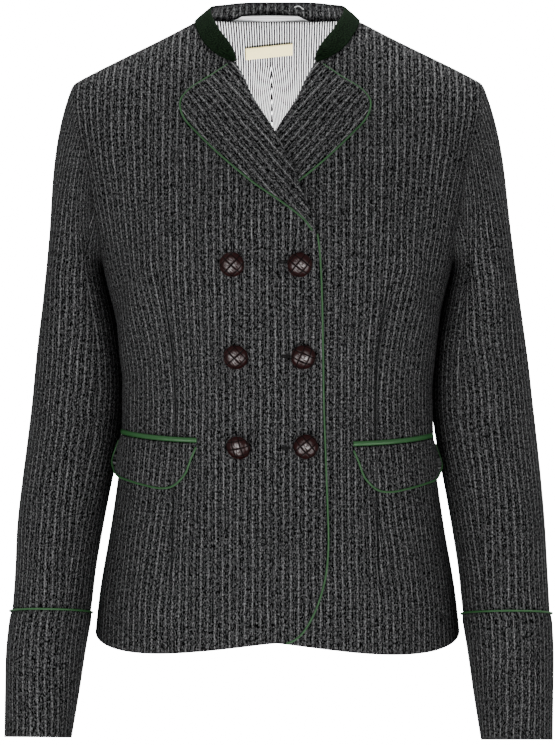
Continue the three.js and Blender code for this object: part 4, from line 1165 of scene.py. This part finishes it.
def button(name, place, axis, turns):
    """A plaited dome on a short shank, standing on a place along an axis."""
    spin, tip, lean = (math.radians(q) for q in turns[:3])
    rings = np.concatenate([np.linspace(0, 1, 60)[1:], [1.0, 0.97, 0.9, 0.75]])
    falls = np.concatenate([np.zeros(59), [0.05, 0.14, 0.22, 0.28]]) * BUTTON_HEIGHT
    turn = np.linspace(0, 2 * np.pi, ROUND, endpoint=False)
    x, y = rings[:, None] * BUTTON_RADIUS * np.cos(turn), rings[:, None] * BUTTON_RADIUS * np.sin(turn)
    dome = BUTTON_HEIGHT * (0.3 + 0.62 * np.sqrt(np.clip(1 - (rings * 0.985) ** 2.2, 0, 1)))
    c, s = math.cos(spin), math.sin(spin)
    stretch = (1 + 0.22 * (rings[:, None] ** 2)) / STRIP
    u, v = (x * c - y * s) * stretch + turns[3], (x * s + y * c) * stretch + turns[4]
    lift = 0.8 * (plait(u, v) - 0.75)
    upward = np.clip(1.2 - rings, 0.15, 1)[:, None]
    z = (dome - falls)[:, None] + lift * upward
    grow = 1 + 0.5 * lift * (1 - upward) / BUTTON_RADIUS
    foot_z = BUTTON_HEIGHT * 0.04 - 1.0
    circle = np.stack([np.cos(turn), np.sin(turn), 0 * turn], -1) * BUTTON_RADIUS * 0.26
    shank = [circle + np.array([0, 0, level]) for level in (BUTTON_HEIGHT * 0.12, foot_z)]
    points = np.concatenate([np.stack([x * grow, y * grow, z], -1).reshape(-1, 3), *shank,
                             [[0, 0, dome[0] + 0.1], [0, 0, foot_z]]])
    rows = len(rings) + 2
    top, bottom, last = rows * ROUND, rows * ROUND + 1, (rows - 1) * ROUND
    faces = []
    for k in range(ROUND):
        k2 = (k + 1) % ROUND
        faces += [(j + k, j + ROUND + k, j + ROUND + k2, j + k2) for j in range(0, last, ROUND)]
        faces += [(k, k2, top), (last + k2, last + k, bottom)]
    tilt = np.array([[math.cos(lean), 0, math.sin(lean)], [0, 1, 0], [-math.sin(lean), 0, math.cos(lean)]])
    nod = np.array([[1, 0, 0], [0, math.cos(tip), -math.sin(tip)], [0, math.sin(tip), math.cos(tip)]])
    points = points @ (tilt @ nod).T
    side = unit(np.cross(np.array([0, 0, 1.0]), axis))
    world = place + points[:, :1] * side + points[:, 1:2] * np.cross(axis, side) + points[:, 2:] * axis
    weave = np.concatenate([np.stack([u, v], -1).reshape(-1, 2), np.full((2 * ROUND, 2), 0.5),
                            [[turns[3], turns[4]], [0.5, 0.5]]])
    crown = np.concatenate([np.repeat(rings, ROUND), np.ones(2 * ROUND), [0, 1]])
    uvs = {"grain": weave, "crown": np.stack([crown, 0 * crown], -1)}
    return add_mesh(name, world, faces, uvs, [dark_leather])


for row, (z, shift, seat) in enumerate(BUTTON_ROWS):
    for side, sign in SIDES:
        place = front_point(shift + sign * BUTTON_X, float(z), -1)
        axis = body_normals(np.array(place[0]), np.array(place[2]), -1)
        piece = button(f"button_{side}_{row + 1}_leather", place + axis * seat, axis, BUTTON_TURNS[row, sign])
        wear(piece, f"button_{side}_{row + 1}", "dark_leather")

# x from, x to, height of each worked buttonhole
BUTTONHOLES = ((3.8, 12.2, -218.8), (6.5, 14.4, -306.8), (6.6, 14.2, -393.6))
STITCHES = 0.95  # half the height of a buttonhole


def make_thread(name, colour):
    """Twisted thread, darker between its turns."""
    material, tree, shader = new_material(name, 0.7, sheen=0.2)
    twist = (uv_map(tree)[2] * 9.0).wave()
    dim = tuple(c * 0.45 for c in colour)
    surface(tree, shader, blend_colour(twist.mask(-0.6, 0.8), dim, colour), twist, 0.0001, 0.6)
    return material


black_thread = make_thread("black_thread", (0.002, 0.002, 0.002))
white_thread = make_thread("white_thread", (0.75, 0.75, 0.75))

turn = np.linspace(0, 2 * np.pi, 64, endpoint=False)
for row, (start, stop, z) in enumerate(BUTTONHOLES):
    x = lerp(start, stop, 0.5 + 0.5 * np.cos(turn))
    line = front_point(x, z + STITCHES * np.sign(np.sin(turn)) * np.abs(np.sin(turn)) ** 0.5, -1, 0.5)
    piece = tube(f"buttonhole_{row + 1}", line, 0.75, black_thread, closed=True, around=8)
    wear(piece, None, "striped_wool")


# The lining of the back.
# White satin with fine grey lines, with an ease pleat down the middle that opens below the label.
LINING_DEPTH = 4.1  # from the outside of the back to the lining
LINING_PLEAT = 2.5
LINING_END = HEM_SIDE + 22
TO_UNDERARM = 0.36  # share of the lining's rows below the armhole
LINING_RISE = 2.0  # it laps a little over the foot of the collar
PLEAT_TOP = -30.0
PLEAT_X = -8.0
LINING_FOLDS = (
    (-52, -70, 10, 60, 12, 0.8),
    (50, -64, -12, 60, 12, 0.8),
    (-90, -160, 6, 80, 16, -1.0),
    (84, -170, -6, 80, 16, -1.0),
    (-40, -330, 3, 120, 16, 0.9),
    (36, -380, -3, 120, 16, 0.9),
)


def lining_point(v, s, out):
    """A point of the lining; v runs up from its lower edge and s from side to side."""
    below = v < TO_UNDERARM
    q = np.clip((v - TO_UNDERARM) / (1 - TO_UNDERARM), 0, 1)
    outer_z = np.where(below, lerp(LINING_END, UNDERARM, v / TO_UNDERARM), lerp(UNDERARM, -54, q))
    outer_x = np.where(below, read(BODY, "z", "half", outer_z) * 0.97,
                       read(ARMHOLE, "z", "back", outer_z) - 6 - 4 * (1 - q))
    x = width_at((2 * s - 1) * angle_at(outer_x, outer_z), outer_z)
    cap = np.minimum(BACK_NECK_Z + LINING_RISE, ridge(x) - 2)
    z = np.where(below, outer_z, lerp(UNDERARM, cap, q))
    pleat = LINING_PLEAT * np.exp(-((x / 8) ** 2)) * smooth((-20 - z) / 60)
    opened = smooth((PLEAT_TOP - z) / 40)
    off = np.abs(x - PLEAT_X)
    step = 0.9 * opened * (np.tanh((off - 5.5 * opened - 0.5) / 0.7) - 1) * np.exp(-((off / 26) ** 2))
    depth = LINING_DEPTH + pleat + out + step + crease_depth(LINING_FOLDS, x, z)
    return body_point(x, z, 1) - body_normals(x, z, 1) * depth[..., None]


v = np.linspace(0, 1, 110)[:, None] + np.zeros((1, 181))
s = np.linspace(-1, 1, 181)[None, :] + np.zeros((110, 1))
s = 0.5 + 0.5 * np.sign(s) * np.abs(s) ** 1.6  # closer columns near the pleat
outer, inner = lining_point(v, s, 0.0), lining_point(v, s, 1.0)
x, z = outer[..., 0], outer[..., 2]
off = np.abs(x - PLEAT_X)
drawn = 0.24 * np.clip(PLEAT_TOP - z, 0, 80) * np.exp(-off / 16)  # the pleat swallows lines as it opens
uvs = grain_map(off * (1 + 0.0011 * np.clip(12 - z, 0, 130)) - drawn, z)
piece = cloth_wall("lining_back_cloth", outer, inner, uvs, [striped_lining, striped_lining])
wear(piece, "lining_back", "striped_lining", flat=(0.46, 0.58), held="hung", area=0.215,
     rests_on=["back_right", "back_left"])


# The hanger loop and the label.
# The loop is a folded strip of the lining along the foot of the collar, sewn at both ends; the label
# is a bare woven patch. Both sit a little to the wearer's right.
# The loop's sizes are shares of the collar.
HANGER = {"middle": -0.045, "half": 0.192, "drawn_in": 0.055, "high": 0.3, "bow": 0.05}
LABEL = {"x": -10.0, "z": -13.2, "width": 48.0, "height": 11.5, "tilt": 0.1, "depth": 7.0}
LABEL_SHADE = (0.84, 0.68, 0.28)
LABEL_LIGHT = (0.96, 0.84, 0.42)
loop_lining = make_lining("striped_lining_loop", 1.9, 0.35, turned=True)

v = np.linspace(0, 1, 9)[:, None] + np.zeros((1, 70))
s = np.linspace(0, 1, 70)[None, :] + np.zeros((9, 1))
t = HANGER["middle"] + (2 * s - 1) * (HANGER["half"] - HANGER["drawn_in"] * v)
height = HANGER["high"] * v + HANGER["bow"] * np.sin(np.pi * s)
base, normals = collar_point(t, height), collar_normals(t, height)
away = COLLAR_GAP + CLOTH + 0.5 + 1.3 * np.sin(np.pi * s) ** 2
outer, inner = base - normals * away[..., None], base - normals * (away + 1.0)[..., None]
piece = cloth_wall("hanger_loop_cloth", outer, inner, grain_map(77 * s, 5.5 * v), [loop_lining, loop_lining])
wear(piece, "hanger_loop", "striped_lining", flat=(0.078, 0.013), held="folded", area=0.0005,
     rests_on=["collar_inner_cloth"])


def make_label(name):
    """A plain cream label, closely woven."""
    material, tree, shader = new_material(name, 0.6, sheen=0.1)
    _, x, y = uv_map(tree)
    weave = (x * 14.0).wave() * (y * 16.0).wave()
    surface(tree, shader, blend_colour(weave * 0.3 + 0.5, LABEL_SHADE, LABEL_LIGHT), weave, 0.00006, 0.6)
    return material


cream_label = make_label("cream_label")
across = LABEL["width"] * (s - 0.5)
x, z = LABEL["x"] + across, LABEL["z"] + LABEL["height"] * (v - 0.5) + LABEL["tilt"] * across
base, normals = body_point(x, z, 1), body_normals(x, z, 1)
outer, inner = base - normals * LABEL["depth"], base - normals * (LABEL["depth"] + 0.6)
uvs = grain_map(across, LABEL["height"] * v)
piece = cloth_wall("label_cloth", outer, inner, uvs, [cream_label, cream_label])
wear(piece, "label", "cream_label", flat=(0.046, 0.0115), held="stretched", rests_on=["lining_back"])

# A short white tacking thread was left in the collar's wool.
s = np.linspace(0, 1, 30)
t = lerp(0.078, 0.122, s)
height = 0.76 + 0.1 * np.sin(np.pi * s * 1.1) - 0.07 * s
line = collar_point(t, height) - collar_normals(t, height) * 2.7
piece = tube("tacking_thread", line, 0.5, white_thread, around=8)
wear(piece, None, "cream_label")


# The photo studio.
# A pale sweep behind and below, four soft lamps, and a camera level with the lapels a little to the right.
def emitter(name, place, target, size, power):
    lamp = bpy.data.lights.new(name, "AREA")
    lamp.shape, lamp.size, lamp.size_y = "RECTANGLE", size[0], size[1]
    lamp.energy = power
    holder = bpy.data.objects.new(name, lamp)
    bpy.context.scene.collection.objects.link(holder)
    holder.location = place
    aim = np.array(target, float) - np.array(place, float)
    holder.rotation_euler = mathutils.Vector(aim).to_track_quat("-Z", "Y").to_euler()
    return holder


FLOOR_Z = -1.1
BEND_Y = 0.9
BEND_RADIUS = 0.8
profile = [(-3.2, FLOOR_Z), (BEND_Y, FLOOR_Z)]
profile += [(BEND_Y + BEND_RADIUS * math.sin(a), FLOOR_Z + BEND_RADIUS * (1 - math.cos(a)))
            for a in np.linspace(0, math.pi / 2, 14)]
profile += [(BEND_Y + BEND_RADIUS, 3.0)]
points = [(x * 1000, y * 1000, z * 1000) for y, z in profile for x in (-4.0, 4.0)]
paper, _, paper_shader = new_material("studio_paper", 0.9)
for key, value in (("Base Color", (0.93, 0.93, 0.93)), ("Emission Color", (1.0, 1.0, 1.0)),
                   ("Emission Strength", 16.0)):
    feed(value, paper_shader.inputs[key])
sweep = add_mesh("sweep", points, [(k, k + 1, k + 3, k + 2) for k in range(0, len(points) - 2, 2)],
                 materials=[paper])
sweep.visible_diffuse = False
sweep.visible_glossy = False

world = bpy.data.worlds.new("studio_air")
world.use_nodes = True
world.node_tree.nodes["Background"].inputs["Color"].default_value = (1, 1, 1, 1)
world.node_tree.nodes["Background"].inputs["Strength"].default_value = 0.42
bpy.context.scene.world = world
# name, place, where it points, size in metres, watts
LAMPS = (
    ("key_lamp", (-1.3, -2.5, -1.5), (0, 0, -0.45), (1.2, 1.6), 100.0),
    ("fill_lamp", (1.7, -2.4, -1.6), (0, 0, -0.45), (1.4, 1.8), 76.0),
    ("inside_lamp", (0.0, -0.05, -0.19), (0, 0.085, 0.0), (0.16, 0.08), 1.7),
    ("back_lamp", (0.3, 0.6, 1.9), (0, 1.6, 0.2), (2.4, 0.8), 90.0),
)
lamps = {row[0]: emitter(*row) for row in LAMPS}
lamps["inside_lamp"].visible_camera = False

DISTANCE = 2.6
EYE_Z = -0.142
TURN = math.radians(1.4)
NOD = math.radians(4.15)
LENS = 129.4
camera_data = bpy.data.cameras.new("photo_camera")
camera_data.lens = LENS
camera_data.dof.use_dof = False
camera = bpy.data.objects.new("photo_camera", camera_data)
bpy.context.scene.collection.objects.link(camera)
eye = (DISTANCE * math.sin(TURN), -DISTANCE * math.cos(TURN), EYE_Z)
camera.location = eye
camera.rotation_euler = (math.pi / 2 - NOD, 0, TURN)
bpy.context.scene.camera = camera
